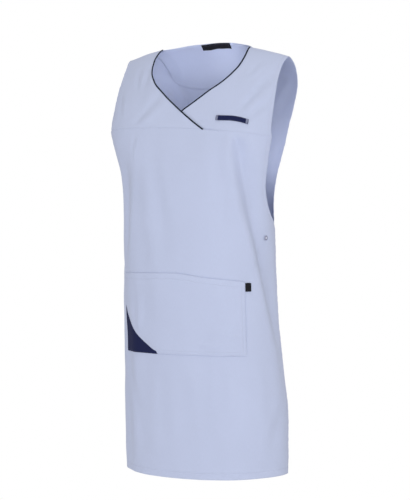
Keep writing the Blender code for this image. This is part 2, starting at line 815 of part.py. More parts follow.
def make_tab():
    girths = steps(2, POCKET_HALF + SEAM, POCKET_HALF + SEAM + TAB_WIDTH)
    places = [[(g, height) for g in girths] for height in (TAB_TOP, TAB_TOP - TAB_DEPTH)]
    patch("pocket_tab", places, LABEL_BLACK)


def make_welt():
    rows = []
    for down in (0.0, 1.0):
        row = []
        for across in steps(STRIP_COLUMNS, WELT_INNER, WELT_OUTER):
            row.append(view_place(across, table(WELT_TOP, across) - WELT_DEPTH * down, True))
        rows.append(row)
    lift = CLOTH / 2 + LAYER
    wall("chest_welt", rows, lift + CLOTH, lift, NAVY)


def make_stud(name, girth, seat, outward):
    """A shallow turned cap, dished in the middle, with its flat base seat away from the surface."""
    point, normal = ring_place(girth, STUD_HEIGHT)
    facing = normal * outward
    aside = facing.cross(Vector((0, 0, 1))).normalized()
    up = facing.cross(aside).normalized()
    base = point + normal * (seat + fold_rise(girth, STUD_HEIGHT))
    shape = bmesh.new()
    loops = []
    for radius_share, rise_share in STUD_PROFILE:
        loop = []
        for step in range(STUD_SIDES):
            angle = 2 * pi * step / STUD_SIDES
            spread = (aside * cos(angle) + up * sin(angle)) * radius_share * STUD_RADIUS
            loop.append(shape.verts.new(base + spread + facing * rise_share * STUD_RISE))
        loops.append(loop)
    for a, b in zip(loops, loops[1:]):
        for step in range(STUD_SIDES):
            after = (step + 1) % STUD_SIDES
            shape.faces.new((a[step], a[after], b[after], b[step]))
    shape.faces.new(loops[0])
    shape.faces.new(loops[-1])
    put_object(name, shape, STUD_PLASTIC)


def make_studs():
    cap_seat = CLOTH / 2 + LAYER
    back_seat = -BACK_TUCK - CLOTH / 2 - 2 * LAYER
    for side, word in ((-1, "right"), (1, "left")):
        make_stud("stud_" + word, side * STUD_GIRTH, cap_seat, 1)
        make_stud("stud_back_" + word, side * STUD_GIRTH, back_seat, -1)


def clear_scene():
    for old in list(bpy.data.objects):
        bpy.data.objects.remove(old)


def main():
    clear_scene()
    make_yokes()
    make_piping()
    make_front_panel()
    make_back_panel()
    make_facing()
    make_label()
    make_welt()
    make_pocket()
    make_inset()
    make_tab()
    make_studs()


main()
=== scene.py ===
"""Looks of the sleeveless wrap-neck medical tunic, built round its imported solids.

Row frame: metres, +Z up, the front faces -Y, the wearer's left is +X. The cloth pieces are thin shells on the
same surface as the solids: a place below the shoulders is a girth (distance along the ring from the centre
front) and a height, and a place above is across and height as seen from the front.
"""
from math import cos, pi, radians, sin

import bpy
import numpy as np
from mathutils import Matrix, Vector


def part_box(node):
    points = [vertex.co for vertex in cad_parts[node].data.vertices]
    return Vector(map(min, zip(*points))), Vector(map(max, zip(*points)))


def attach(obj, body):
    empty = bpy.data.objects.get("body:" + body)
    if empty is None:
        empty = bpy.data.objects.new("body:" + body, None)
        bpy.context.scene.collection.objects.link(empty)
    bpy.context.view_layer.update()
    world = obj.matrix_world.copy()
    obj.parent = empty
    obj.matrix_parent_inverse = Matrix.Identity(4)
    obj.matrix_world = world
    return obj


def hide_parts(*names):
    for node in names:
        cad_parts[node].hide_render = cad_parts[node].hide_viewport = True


CM = 0.01
MM = 0.001
TINY = 1e-12

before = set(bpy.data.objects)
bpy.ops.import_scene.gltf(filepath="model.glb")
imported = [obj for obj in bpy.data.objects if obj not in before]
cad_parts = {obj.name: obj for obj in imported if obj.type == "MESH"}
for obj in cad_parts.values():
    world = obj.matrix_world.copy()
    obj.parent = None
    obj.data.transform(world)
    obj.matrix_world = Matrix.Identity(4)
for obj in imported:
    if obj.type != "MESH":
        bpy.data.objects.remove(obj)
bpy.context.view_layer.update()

# Driving sizes, as in the solids
LENGTH = -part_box("front_panel")[0].z
NECK_HALF = 10.9 * CM
TIP_HALF = 19.4 * CM
TIP_DROP = 2.1 * CM
TIP_ROUND = 1.15
NECK_RISE = 3.4 * CM
CREST_Y_NECK = -0.5 * CM
CREST_Y_TIP = 0.3 * CM
CLOTH = 1.2 * MM
SEAM = 0.3 * MM
RIM_ROUND = 0.35            # how far a rim bulges, as a share of the cloth's thickness
INSIDE_PLACE = (0, -2 * CM, -1 * CM)    # from a point's height: the normals face away from it
SEAM_DROP = 0.2 * MM        # nearer to the crest than this, the cloth lies at the shoulder seam
SEAM_LINE = (-17.2, -0.035, -0.0025)    # level, slope and bend of the yoke seam, in centimetres
LAYER = 0.5 * MM
HEM = 1.5 * CM
HEM_CLOTH = 1.0 * MM
HEM_RISE = 0.6 * CM
HEM_MARGIN = 0.3 * MM
HEM_STEP = 0.8 * MM         # length over which the turned-up cloth thins out
HEM_SHARE = 0.12            # share of the front's length over which the hem's curve fades out
SEAM_SHARE = 0.1
BACK_HEM_FADE = 9 * CM
UNDERLAP = 2.2 * MM
UNDER_START = 10.5 * CM
UNDER_TOP = -8.5 * CM
UNDER_FADE = 4.0 * CM
BACK_TUCK = 3.4 * MM
TUCK_TOP = -20.0 * CM
TUCK_FADE = 14.0 * CM
FRONT_FALL = (17.0 * CM, 0.72)
BACK_FALL = (6.5 * CM, 0.60)
BACK_JOIN = -16.0 * CM
BACK_NECK_RISE = 1.6 * CM
COLUMN_FADE = 14.0 * CM
FLAT_SHARE = 0.5            # how closely the back's rows lie below the shoulder's round
POCKET_HALF = 15.4 * CM
POCKET_BOTTOM = -64.6 * CM
INSET_END = -4.7 * CM
WELT_INNER = 8.4 * CM
WELT_OUTER = 15.3 * CM
WELT_DEPTH = 0.95 * CM
WELT_CROWN = 0.35 * MM
TAB_WIDTH = 1.2 * CM
TAB_DEPTH = 1.7 * CM
TAB_TOP = -49.4 * CM
TAB_GAP = 1.5 * MM          # from the pocket's edge
TAB_LOOP = 0.9 * MM
TAB_ROUND = 1.2
TAB_HOLLOW = 0.6
LABEL_WIDTH = 6.9 * CM
LABEL_DEPTH = 0.88 * CM
LABEL_ACROSS = -0.65 * CM
LABEL_RISE = 1.6 * MM       # how far the ribbon's top stands over the neck edge
LABEL_LIFT = 3.0 * MM
LABEL_LEAN = 3.0 * MM       # how far the loose lower edge hangs to the wearer's right
LABEL_WAVE = 0.7 * MM
LABEL_WAVE_TURN = 5.0
LABEL_WAVE_START = 0.4
LABEL_LOOSE = 0.5 * MM
LABEL_LOOSE_RATE = 2.1
LABEL_LOOSE_START = 0.6
FACING_HALF = 13.7 * CM
FACING_LOW = -8.2 * CM
FACING_ROUND = 5.0
FACING_DROP = 0.5 * MM
FACING_MARGIN = 0.1 * CM
FACING_LIFT = 1.5 * MM
FACING_EDGE_CLOTH = 0.5 * MM
FACING_TACKED = 0.75        # below this share of its depth it draws close to the back, where it is sewn down
INNER_CLOTH = 1.0 * MM      # thickness of the facing and of the label
PATCH_LIFT = CLOTH / 2 + SEAM
PATCH_CLOTH = 0.9 * MM      # thickness of what is sewn on the front
STUD_GIRTH = 21.5 * CM
STUD_HEIGHT = -40.1 * CM
STUD_RADIUS = 5.5 * MM
STUD_RISE = 1.8 * MM
STUD_GAP = 0.1 * MM
STUD_PATCH = 1.0 * MM       # half the small patch of cloth that gives the stud its direction
STUD_SIDES = 40
PIPING_WIDTH = 3.5 * MM
PIPING_DEPTH = 2.5 * MM
PIPING_GIRTH = 3 * PIPING_WIDTH
PIPING_SIDES = 14
PIPING_END = -14.9 * CM     # where the under front's piping runs out under the over front

RINGS = [
    # height, half_width, front, side, back, front_round, back_round
    (4.0, 22.3, -8.8, 0.2, 8.7, 2.9, 2.3),
    (0.0, 22.1, -8.9, 0.2, 9.0, 2.9, 2.3),
    (-6.0, 21.7, -9.5, 0.0, 9.7, 2.9, 2.3),
    (-12.0, 21.3, -10.6, -0.5, 10.2, 3.0, 2.2),
    (-17.2, 20.9, -12.1, -1.2, 10.0, 3.0, 2.1),
    (-22.6, 19.3, -13.5, -2.0, 9.2, 2.65, 2.1),
    (-27.6, 17.7, -14.2, -2.7, 8.4, 2.35, 2.2),
    (-33.6, 17.1, -14.4, -3.2, 7.7, 2.25, 2.2),
    (-39.6, 17.1, -14.4, -3.3, 7.4, 2.25, 2.2),
    (-51.6, 17.4, -14.1, -2.8, 8.4, 2.25, 2.1),
    (-65.6, 18.3, -13.2, -1.2, 10.4, 2.15, 2.0),
    (-79.6, 18.9, -12.3, -0.2, 11.8, 2.10, 2.0),
    (-93.6, 18.7, -11.8, 0.0, 12.0, 2.00, 2.0),
]
NECKLINE = [
    # across, height
    (10.9, 0.0), (11.1, -1.8), (10.8, -3.7), (9.9, -5.6), (8.2, -7.6), (6.0, -9.3), (3.1, -11.5),
    (0.1, -13.7), (-2.8, -15.7), (-5.5, -17.4),
]
FRONT_ARMHOLE = [
    # across, height
    (19.4, -2.1), (19.0, -4.2), (18.95, -6.9), (19.1, -9.9), (19.2, -13.6), (19.25, -19.0),
]
FRONT_EDGE = [
    # height, girth
    (-17.0, 20.9), (-22.6, 20.7), (-28.4, 20.6), (-30.9, 21.0), (-33.1, 21.7), (-35.3, 23.0), (-37.0, 24.5),
    (-38.3, 25.5), (-40.0, 25.8), (-60.0, 26.5), (-75.0, 27.2), (-91.0, 27.0),
]
BACK_EDGE = [
    # height, girth
    (-16.0, 35.8), (-18.0, 36.1), (-20.4, 35.1), (-24.0, 33.0), (-27.0, 31.4), (-30.0, 30.1), (-33.0, 29.2),
    (-35.3, 28.6), (-36.8, 27.0), (-37.9, 24.6), (-38.8, 22.2), (-39.8, 20.6), (-42.0, 20.0), (-91.0, 20.4),
]
BACK_ARMHOLE = [
    # height, across
    (-2.1, 19.4), (-3.8, 19.4), (-6.0, 19.2), (-8.6, 18.8), (-11.5, 18.1), (-14.2, 17.4), (-16.0, 16.75),
]
POCKET_TOP = [
    # girth, height
    (-15.6, -47.9), (0.0, -47.5), (7.3, -48.3), (15.6, -49.1),
]
INSET_EDGE = [
    # girth, height
    (-15.4, -54.6), (-14.6, -55.9), (-13.0, -58.0), (-11.5, -59.7), (-9.8, -61.2), (-7.8, -62.6),
    (-5.9, -63.7), (-4.3, -64.4),
]
WELT_TOP = [
    # across, height
    (8.4, -14.6), (11.7, -14.7), (13.6, -15.0), (15.3, -15.5),
]

# The largest folds, as in the solids: depth and ridge in millimetres, the rest in centimetres
FOLDS = [
    # girth_top, height_top, girth_mid, height_mid, girth_low, height_low, depth, ridge, width
    (-7.6, -40.0, -7.9, -60.0, -8.6, -88.0, 1.6, 1.0, 2.2),
    (6.0, -60.0, 7.0, -75.0, 7.6, -92.0, 1.8, 1.2, 2.6),
    (36.0, -34.0, 37.5, -50.0, 38.0, -72.0, 3.0, 1.5, 2.2),
    (-36.5, -36.0, -38.0, -54.0, -39.5, -78.0, 3.2, 1.6, 2.4),
    (-44.0, -56.0, -45.5, -72.0, -46.0, -92.0, 2.6, 1.4, 2.6),
]
NEAR_FOLD = [
    # height, girth, depth, inner width, outer width, ridge: the fold that hangs from the chest, wearer's left
    (-76.0, 27.4, 0.0, 2.2, 3.4, 0.0),
    (-66.0, 25.4, 4.0, 1.9, 3.4, 0.8),
    (-57.0, 23.2, 9.0, 1.6, 3.4, 1.6),
    (-49.0, 21.0, 14.0, 1.4, 3.4, 2.6),
    (-41.0, 18.9, 13.5, 1.4, 2.9, 3.0),
    (-34.0, 17.0, 14.0, 1.6, 3.0, 2.8),
    (-28.0, 15.5, 14.0, 1.5, 2.9, 2.6),
    (-23.0, 14.3, 12.5, 1.3, 2.4, 2.4),
    (-19.5, 13.4, 8.0, 1.0, 1.8, 1.8),
    (-17.2, 12.9, 0.0, 0.9, 1.4, 0.0),
]
# How a fold opens and closes along its length, in centimetres
FOLD_LEAD = 3.0
FOLD_TAIL = 6.0
FOLD_OPENING = 4.0
FOLD_CLOSING = 10.0
RIDGE_PLACE = 1.7           # how far a ridge lies from its trough, in half widths
SEAM_FADE = 2.2 * CM        # length below the yoke seam over which the folds open
YOKE_FADE = 1.4 * CM
BACK_TOP_FADE = 1.5 * CM
CREASE_ENDS = (0.12, 0.45, 0.55)        # shares of its length: past its ends, opening and closing
CREASE_START = 0.7          # a crease's width at its first end, as a share, and what it gains to its last
CREASE_GAIN = 0.6

# Creases between the large folds, each a soft trough with a ridge on one side. The bow is how far its middle
# lies aside of the straight line. Depth and ridge in millimetres, the rest in centimetres.
RING_CREASES = [
    # girth_a, height_a, girth_b, height_b, bow, depth, ridge, width
    (-14.9, -46.0, -13.5, -19.0, 0.1, 4.0, 2.0, 1.5),
    (-11.5, -23.5, -10.8, -18.0, 0.0, 1.2, 0.8, 0.5),
    (-15.8, -94.0, -14.2, -46.0, 0.3, 3.4, 1.6, 2.2),
    (8.9, -20.5, 11.8, -44.0, -0.7, 1.5, 0.9, 1.5),
    (4.2, -24.0, 5.0, -46.0, 0.6, 0.9, 0.6, 1.9),
    (-5.4, -24.0, -1.6, -48.0, -0.5, 3.2, 1.8, 2.1),
    (-15.9, -20.5, -15.0, -46.0, -0.8, 1.6, 1.0, 1.5),
    (-18.4, -27.0, -19.2, -52.0, 0.5, 1.4, 0.9, 1.4),
    (17.4, -21.0, 19.2, -36.0, 0.6, 1.4, 0.8, 1.1),
    (20.6, -43.5, 16.0, -49.5, 0.4, 1.2, 0.8, 1.0),
    (-21.0, -43.0, -16.8, -48.0, -0.4, 1.2, 0.8, 1.0),
    (23.9, -44.0, 24.4, -64.0, 0.4, 1.0, 0.7, 1.3),
    (24.6, -74.0, 19.4, -90.0, 0.5, 1.8, 1.3, 1.4),
    (1.2, -67.0, 0.4, -90.5, -0.7, 1.2, 0.8, 2.2),
    (-3.6, -69.0, -3.0, -90.5, 0.5, 0.9, 0.7, 1.8),
    (-13.9, -67.0, -8.6, -89.0, -0.4, 2.2, 1.5, 1.5),
    (9.8, -66.0, 10.4, -80.0, 0.4, 0.9, 0.7, 1.2),
    (-10.4, -66.0, -11.2, -77.0, -0.3, 0.9, 0.6, 1.1),
    (-20.0, -60.0, -20.8, -88.0, 0.5, 1.2, 0.8, 1.7),
    (20.2, -66.0, 20.6, -89.0, -0.4, 1.2, 0.8, 1.7),
    (31.0, -40.0, 30.4, -66.0, 0.8, 2.6, 1.6, 1.8),
    (-30.6, -41.0, -30.9, -70.0, -0.7, 2.9, 1.8, 1.9),
    (34.2, -60.0, 33.4, -88.0, 0.6, 4.2, 2.4, 1.9),
    (-34.0, -66.0, -33.6, -90.0, 0.5, 2.4, 1.4, 2.0),
    (41.6, -30.0, 43.4, -52.0, -0.8, 5.1, 2.9, 1.6),
    (-41.0, -26.0, -43.6, -49.0, 0.9, 5.4, 3.0, 1.5),
    (46.0, -36.0, 46.6, -60.0, 0.5, 3.2, 1.9, 1.8),
    (41.8, -64.0, 42.4, -90.0, -0.6, 4.5, 2.6, 2.0),
    (-38.8, -22.0, -36.2, -30.5, 0.4, 3.5, 2.1, 1.1),
    (38.4, -20.5, 35.6, -29.0, -0.4, 3.4, 1.9, 1.1),
    (-45.2, -38.0, -40.6, -43.0, 0.3, 2.9, 1.9, 1.0),
    (44.6, -41.0, 39.4, -45.5, -0.3, 3.0, 1.9, 1.0),
]
YOKE_CREASES = [
    # across_a, height_a, across_b, height_b, bow, depth, ridge, width
    (12.8, -14.0, 18.2, -4.6, 0.15, 3.2, 2.0, 0.95),
    (15.4, -15.0, 18.9, -10.2, 0.1, 1.8, 1.2, 0.7),
    (-11.8, -16.4, -5.0, -8.6, 0.2, 3.0, 2.0, 1.05),
    (-13.0, -8.8, -14.2, -3.6, -0.2, 1.8, 1.1, 0.8),
    (-10.8, -8.2, -11.8, -3.4, 0.2, 1.3, 0.8, 0.7),
    (-15.9, -15.0, -18.4, -9.0, 0.2, 1.8, 1.1, 0.8),
    (12.6, -6.6, 14.6, -2.6, 0.2, 1.1, 0.7, 0.7),
    (4.0, -15.0, 7.4, -16.1, 0.1, 1.3, 0.9, 0.6),
    (6.8, -15.9, 12.0, -16.6, 0.2, 0.5, 0.4, 0.7),
    (-7.6, -16.5, -13.2, -16.4, 0.2, 0.6, 0.5, 0.7),
]
BACK_TOP_CREASES = [
    # across_a, height_a, across_b, height_b, bow, depth, ridge, width
    (11.0, -14.0, 17.6, -5.4, -0.4, 3.7, 2.2, 1.2),
    (-10.4, -13.2, -17.8, -5.0, 0.5, 3.8, 2.2, 1.3),
    (3.6, -15.0, 5.0, -8.8, 0.3, 1.3, 0.8, 1.4),
    (-5.2, -15.2, -4.4, -9.0, -0.3, 1.2, 0.8, 1.3),
]
POCKET_CREASES = [
    # girth_a, height_a, girth_b, height_b, bow, depth, ridge, width
    (5.4, -61.4, 10.8, -60.9, 0.2, 1.9, 2.4, 0.8),
    (11.0, -59.7, 14.4, -59.0, 0.15, 1.4, 1.8, 0.65),
    (7.8, -64.6, 14.8, -66.2, 0.1, 1.4, 1.6, 0.65),
    (-10.9, -61.0, -11.2, -51.0, 0.2, 1.2, 1.7, 0.9),
    (-3.2, -63.6, 1.6, -65.4, 0.2, 0.7, 0.6, 0.8),
    (8.4, -57.6, 10.6, -52.8, -0.2, 0.5, 0.5, 0.9),
]
POCKET_SLACK = 1.2 * MM     # the pocket stands off the front by this much where creases can dip
POCKET_BULGE = 0.1 * MM
POCKET_SIDE_FADE = 2.5 * CM
POCKET_LOW_FADE = 3.0 * CM
POCKET_TOP_FADE = 3.5 * CM

# Broad unevenness: share, then rate across, rate down and start of one sine, and down, across and start
# of the other, per centimetre
SWELL = 0.5 * MM
SWELL_WAVES = [
    (1.0, 0.61, 0.23, 0.8, 0.33, -0.19, 2.1),
    (0.6, 0.97, -0.41, 4.0, 0.57, 0.31, 0.0),
]
BEHIND_START = 30 * CM      # girth from which the back's slack is its own
BEHIND_FADE = 5.5 * CM
BEHIND_SHIFT = 40 * CM

# Puckers beside stitches: share, rate per millimetre and start of each wave; pairs are a reach and a depth
PUCKER_WAVES = [
    (1.0, 0.52, 0.0), (0.8, 0.31, 1.7), (0.5, 0.173, 0.4),
]
PUCKER_REACH = 9 * MM
PUCKER = 0.16 * MM
NECK_PUCKER = (6 * MM, 0.1 * MM)
POCKET_PUCKER = (7 * MM, 0.05 * MM)
YOKE_SEAM_PUCKER = 8 * MM
FRONT_SEAM_PUCKER = 7 * MM
YOKE_PUCKER_SHIFT = 3 * CM
HEM_PUCKER_PLACE = 13 * MM  # how far above its edge the hem is sewn

# Distances of grid lines from an edge, in millimetres. The named ones carry a line of stitches.
EDGE_LINES = [0, 2.0, 4.5, 6.6, 7.8, 9.0, 12.0]
EDGE_STITCH = 4
SEAM_LINES = [0, 0.8, 1.8, 2.8, 5.2, 8.6]
SEAM_STITCH = 2
HEM_LINES = [0, 2.2, 5.0, 9.0, 12.4, 13.6, 14.8, 18.0]
HEM_STITCH = 5
POCKET_TOP_LINES = [0, 2.0, 5.0, 8.5, 10.9, 12.0, 13.1, 15.5]
POCKET_TOP_STITCH = 5
POCKET_LINES = [0, 0.9, 1.8, 2.8, 4.6, 6.4, 7.4, 8.4, 11.0]
POCKET_STITCHES = (2, 6)
NECK_LINES = [0, 1.4, 2.6, 3.8, 6.5, 10.0]
NECK_STITCH = 2
SHOULDER_STITCH = 4         # rows from the top of a yoke and of the back
BACK_NECK_STITCH = 3
INSET_LINES = [0, 3, 8]
BACK_JOIN_LINES = [3.5]
GROOVE = 0.28 * MM          # how deep a line of stitches pulls the cloth in
POCKET_GROOVE = 0.16 * MM
POCKET_TOP_GROOVE = 0.26 * MM

# Rows and columns of the cloths' grids
YOKE_ROWS = 60
YOKE_ROW_POWER = 1.45       # sets the rows closer toward the shoulder
YOKE_ROW_GAP = 0.008
YOKE_LENGTH = 17.4 * CM
YOKE_CHORDS = 12            # straight lengths by which a yoke's width is measured
YOKE_COLUMNS = 52
FRONT_ROWS = 200
FRONT_COLUMNS = 117
BACK_TOP_ROWS = 62
BACK_COLUMNS = 126
BACK_ROW_STEP = 3.9 * MM
BACK_LOW_ROWS = int((LENGTH + BACK_JOIN) / BACK_ROW_STEP)
FACING_ROWS = 34
FACING_COLUMNS = 91
LABEL_ROWS = 12
LABEL_COLUMNS = 49
POCKET_ROWS = 34
POCKET_COLUMNS = 88
INSET_ROWS = 26
INSET_COLUMNS = 24
TAB_ROWS = 19
TAB_COLUMNS = 15
WELT_ROWS = 13
WELT_COLUMNS = 61

# Stitches and the bar tacks over the welt's ends
STITCH = 2.4 * MM           # a stitch's length
STITCH_PITCH = 3.0 * MM
STITCH_START = 0.75
THREAD = 0.27 * MM          # radius
THREAD_SIDES = 6
THREAD_FLAT = 0.8
THREAD_LIFT = 0.1
THREAD_DIP = 0.6            # share of a ring's height that counts, so that the ends sink into the cloth
THREAD_RINGS = [
    # share of half the length, share of the radius, height in radii
    (-1.0, 0.35, -0.9), (-0.72, 0.95, 0.05), (0.0, 1.0, 0.35), (0.72, 0.95, 0.05), (1.0, 0.35, -0.9),
]
TACK_COLUMNS = 5
TACK_THREADS = 24
TACK_LIFT = 0.1 * MM

STUD_PROFILE = [
    # share of the radius, share of the rise
    (0.90, 0.0), (1.0, 0.10), (1.0, 0.42), (0.97, 0.62), (0.90, 0.82), (0.80, 0.96), (0.70, 1.0),
    (0.62, 0.96), (0.57, 0.84), (0.54, 0.72), (0.46, 0.66), (0.30, 0.64), (0.12, 0.70), (0.0, 0.72),
]
# Painted shade on the stud's cap: its groove and its rim are darkened where shadow would fall
STUD_PAINTED_SHADE = [
    # share of the radius, brightness: painted shade, dark in the groove round the middle and darker at the
    # rim
    (0.0, 1.0), (0.48, 1.0), (0.60, 0.20), (0.84, 0.18), (0.93, 0.8), (1.0, 0.6),
]

# Cloth, thread and plastic as seen close up
WEAVE_PITCH = 0.45 * MM
RIBBON_PITCH = 0.7 * MM
WEAVE = 0.06 * MM
SLUB_STRETCH = (900, 120, 1)            # thicker and thinner yarns, drawn out along the cloth
SLUB_NOISE = (1.0, 2.0)     # scale and detail, as in each noise
DYE_NOISE = (9.0, 3.0)
MOTTLE = 0.03
MOTTLE_RANGE = (0.6, 1.4)
WRINKLE_NOISE = (42.0, 2.5)
WRINKLE = 2.0 * MM
SHEEN_ROUGHNESS = 0.45
GRAIN_NOISE = (1400.0, 2.0)
GRAIN = 0.07
GRAIN_DEPTH = 0.05 * MM
THREAD_FINISH = (0.6, 0.3)  # roughness and bump
STUD_FINISH = (0.32, 0.05)
STUD_BLUE = 0.7             # power that keeps the groove's painted shade bluish

# The photograph's camera
AZIMUTH = 29.0
DISTANCE = 4.40
CAMERA_HEIGHT = -0.26
AIM = (-0.00376, -0.00208, -0.431)
FOCAL_PIXELS = 2046
LONG_SIDE_PIXELS = 500
SENSOR = 36.0

# The studio
FLOOR_HEIGHT = -1.42        # how far below the wearer's shoulders the floor is
FLOOR_RADIUS = 30.0
FLOOR_SIDES = 96
FLOOR_COLOUR = (0.93, 0.93, 0.94, 1)
FLOOR_ROUGHNESS = 0.9
FLOOR_GLOW = 0.06
LIGHT_AIM = Vector((0, 0, -0.42))
LIGHT_DISTANCE = 3.4
LIGHT_SIZE = 2.4
LIGHTS = [
    # name, azimuth, elevation, power, colour
    ("key_near", 50.0, 15.0, 17.0, (1.0, 0.985, 0.94)),
    ("front_low", 20.0, -8.0, 32.0, (0.88, 0.92, 1.0)),
    ("fill_far", -25.0, 20.0, 2.6, (1.0, 1.0, 0.9)),
    ("top", 20.0, 68.0, 14.3, (1.0, 1.0, 0.92)),
    ("behind", 209.0, 30.0, 18.0, (1.0, 1.0, 1.0)),
]
INSIDE_LIGHTS = [
    # name, place, power: the soft light that a thin cloth lets through to its inside
    ("inside_near", (0.13, -0.01, -0.25), 0.012),
    ("inside_far", (-0.13, -0.01, -0.25), 0.012),
]
INSIDE_COLOUR = (1.0, 0.94, 0.82)
INSIDE_SPOTS = [
    # name, place, aim, power, cone
    ("inside_neck", (0.03, -0.05, -0.03), (0.0, 0.07, 0.01), 0.38, 88.0),
    ("inside_neck_far", (-0.05, -0.045, -0.05), (-0.14, 0.045, -0.03), 0.26, 75.0),
    ("inside_arm_near", (-0.02, -0.05, -0.25), (0.18, 0.05, -0.205), 0.88, 62.0),
    ("inside_arm_far", (0.02, -0.05, -0.25), (-0.18, 0.05, -0.205), 0.50, 62.0),
]
INSIDE_SIZE = 0.05
SKY = 0.677                 # how bright the studio's white surroundings are
SKY_COLOUR = (1.0, 0.975, 0.92, 1)
WHITE = (1.0, 1.0, 1.0, 1.0)


def smooth_step(part):
    part = np.clip(part, 0.0, 1.0)
    return part * part * (3 - 2 * part)


def blend(a, b, part):
    return a + (b - a) * part


def unit(vectors):
    return vectors / np.maximum(np.linalg.norm(vectors, axis=-1, keepdims=True), TINY)


def curve(rows, keys):
    """Smooth curves through a table's columns, read at keys of its first column, with no overshoot."""
    rows = np.array(sorted(rows), float)
    xs = rows[:, 0]
    keys = np.clip(np.asarray(keys, float), xs[0], xs[-1])
    spot = np.clip(np.searchsorted(xs, keys, side="right") - 1, 0, len(xs) - 2)
    span = xs[spot + 1] - xs[spot]
    part = (keys - xs[spot]) / span
    square = part * part
    cube = square * part
    start = 2 * cube - 3 * square + 1
    leave = cube - 2 * square + part
    end = 3 * square - 2 * cube
    arrive = cube - square
    values = []
    for ys in rows.T[1:]:
        slopes = np.diff(ys) / np.diff(xs)
        before = slopes[:-1]
        after = slopes[1:]
        agree = before * after > 0
        inner = np.where(agree, 2 * before * after / np.where(agree, before + after, 1.0), 0.0)
        tangents = np.concatenate([slopes[:1], inner, slopes[-1:]])
        values.append(start * ys[spot] + leave * tangents[spot] * span
                      + end * ys[spot + 1] + arrive * tangents[spot + 1] * span)
    return values


def table(rows, key):
    """Values in metres from a two-column table in centimetres."""
    return curve(rows, np.asarray(key) / CM)[0] * CM


def path_lengths(points):
    """Lengths along a row of points, from its first one."""
    return np.concatenate([[0.0], np.cumsum(np.linalg.norm(np.diff(points, axis=0), axis=1))])


def path_point(rows, part):
    """Places on a drawn edge (a list of across and height in centimetres), by share of its length."""
    places = np.array(rows, float)
    lengths = np.concatenate([[0.0], np.cumsum(np.hypot(*np.diff(places, axis=0).T))])
    across, height = curve(np.column_stack([lengths, places]).tolist(), np.asarray(part) * lengths[-1])
    return across * CM, height * CM


def crest(across):
    """Height and Y of the shoulder crest."""
    reach = np.abs(across)
    part = np.clip((reach - NECK_HALF) / (TIP_HALF - NECK_HALF), 0.0, None)
    inside = NECK_RISE * (1 - (np.minimum(reach, NECK_HALF) / NECK_HALF) ** 2)
    height = np.where(reach < NECK_HALF, inside, -TIP_DROP * part ** TIP_ROUND)
    return height, blend(CREST_Y_NECK, CREST_Y_TIP, np.minimum(part, 1.0))


def fall(drop, reach, power):
    part = np.clip(drop / reach, 0.0, 1.0)
    return (1 - (1 - part) ** 2) ** power


def seen_point(across, height, front):
    """Points of the surface's front or back half at places seen from the front."""
    half, front_y, side_y, back_y, front_round, back_round = curve(RINGS, height / CM)
    power = front_round if front else back_round
    end = front_y if front else back_y
    share = np.maximum(0.0, 1 - np.minimum(np.abs(across) / (half * CM), 1.0) ** power) ** (1 / power)
    full = (side_y + (end - side_y) * share) * CM
    crest_height, crest_y = crest(across)
    height = np.minimum(height, crest_height)
    drop = crest_height - height
    depth = crest_y + (full - crest_y) * fall(drop, *(FRONT_FALL if front else BACK_FALL))
    facing = -1 if front else 1
    depth = np.where(drop < SEAM_DROP, crest_y + facing * SEAM / 2, depth)
    return np.stack([across, depth, height], axis=-1)


class RingTable:
    """The rings at close, even heights, so that places between them are read by interpolation."""
    TOP = -12.0 * CM
    STEP = 4.0 * MM
    COUNT = 205
    ANGLES = np.linspace(0.0, pi, 721)

    def __init__(self):
        heights = self.TOP - self.STEP * np.arange(self.COUNT)
        columns = [values[:, None] for values in curve(RINGS, heights / CM)]
        half, front_y, side_y, back_y, front_round, back_round = columns
        front = (self.ANGLES <= pi / 2)[None, :]
        power = 2 / np.where(front, front_round, back_round)
        end = np.where(front, front_y, back_y)
        self.across = half * np.abs(np.sin(self.ANGLES))[None, :] ** power * CM
        self.depth = (side_y + (end - side_y) * np.abs(np.cos(self.ANGLES))[None, :] ** power) * CM
        steps = np.hypot(np.diff(self.across, axis=1), np.diff(self.depth, axis=1))
        self.girths = np.concatenate([np.zeros((self.COUNT, 1)), np.cumsum(steps, axis=1)], axis=1)

    def half_girth(self, height):
        row = np.clip((self.TOP - height) / self.STEP, 0, self.COUNT - 1)
        return np.interp(row, np.arange(self.COUNT), self.girths[:, -1])

    def points(self, girth, height):
        """Points at girths and heights below the shoulders' fall."""
        girth, height = np.broadcast_arrays(np.asarray(girth, float), np.asarray(height, float))
        shape = girth.shape
        girth = girth.ravel()
        height = height.ravel()
        half = self.half_girth(height)
        reach = np.abs(girth)
        past = reach > half
        reach = np.where(past, 2 * half - reach, reach)
        sign = np.where(girth >= 0, 1.0, -1.0) * np.where(past, -1.0, 1.0)
        row = np.clip((self.TOP - height) / self.STEP, 0, self.COUNT - 1.001)
        spot = row.astype(int)
        part = row - spot
        across = np.empty(len(girth))
        depth = np.empty(len(girth))
        for k in np.unique(spot):
            here = spot == k
            for source, target in ((self.across, across), (self.depth, depth)):
                high = np.interp(reach[here], self.girths[k], source[k])
                low = np.interp(reach[here], self.girths[k + 1], source[k + 1])
                target[here] = blend(high, low, part[here])
        return np.stack([across * sign, depth, height], axis=-1).reshape(*shape, 3)


rings = RingTable()


def seam_height(girth):
    """Height of the yoke seam."""
    share = girth / CM
    level, slope, bend = SEAM_LINE
    return (level + slope * share + bend * share * share) * CM


def trough(aside, depth, ridge):
    """A soft trough with a ridge on one side, in millimetres, at distances in half widths."""
    return ridge * np.exp(-(aside - RIDGE_PLACE) ** 2) - depth * np.exp(-aside ** 2)


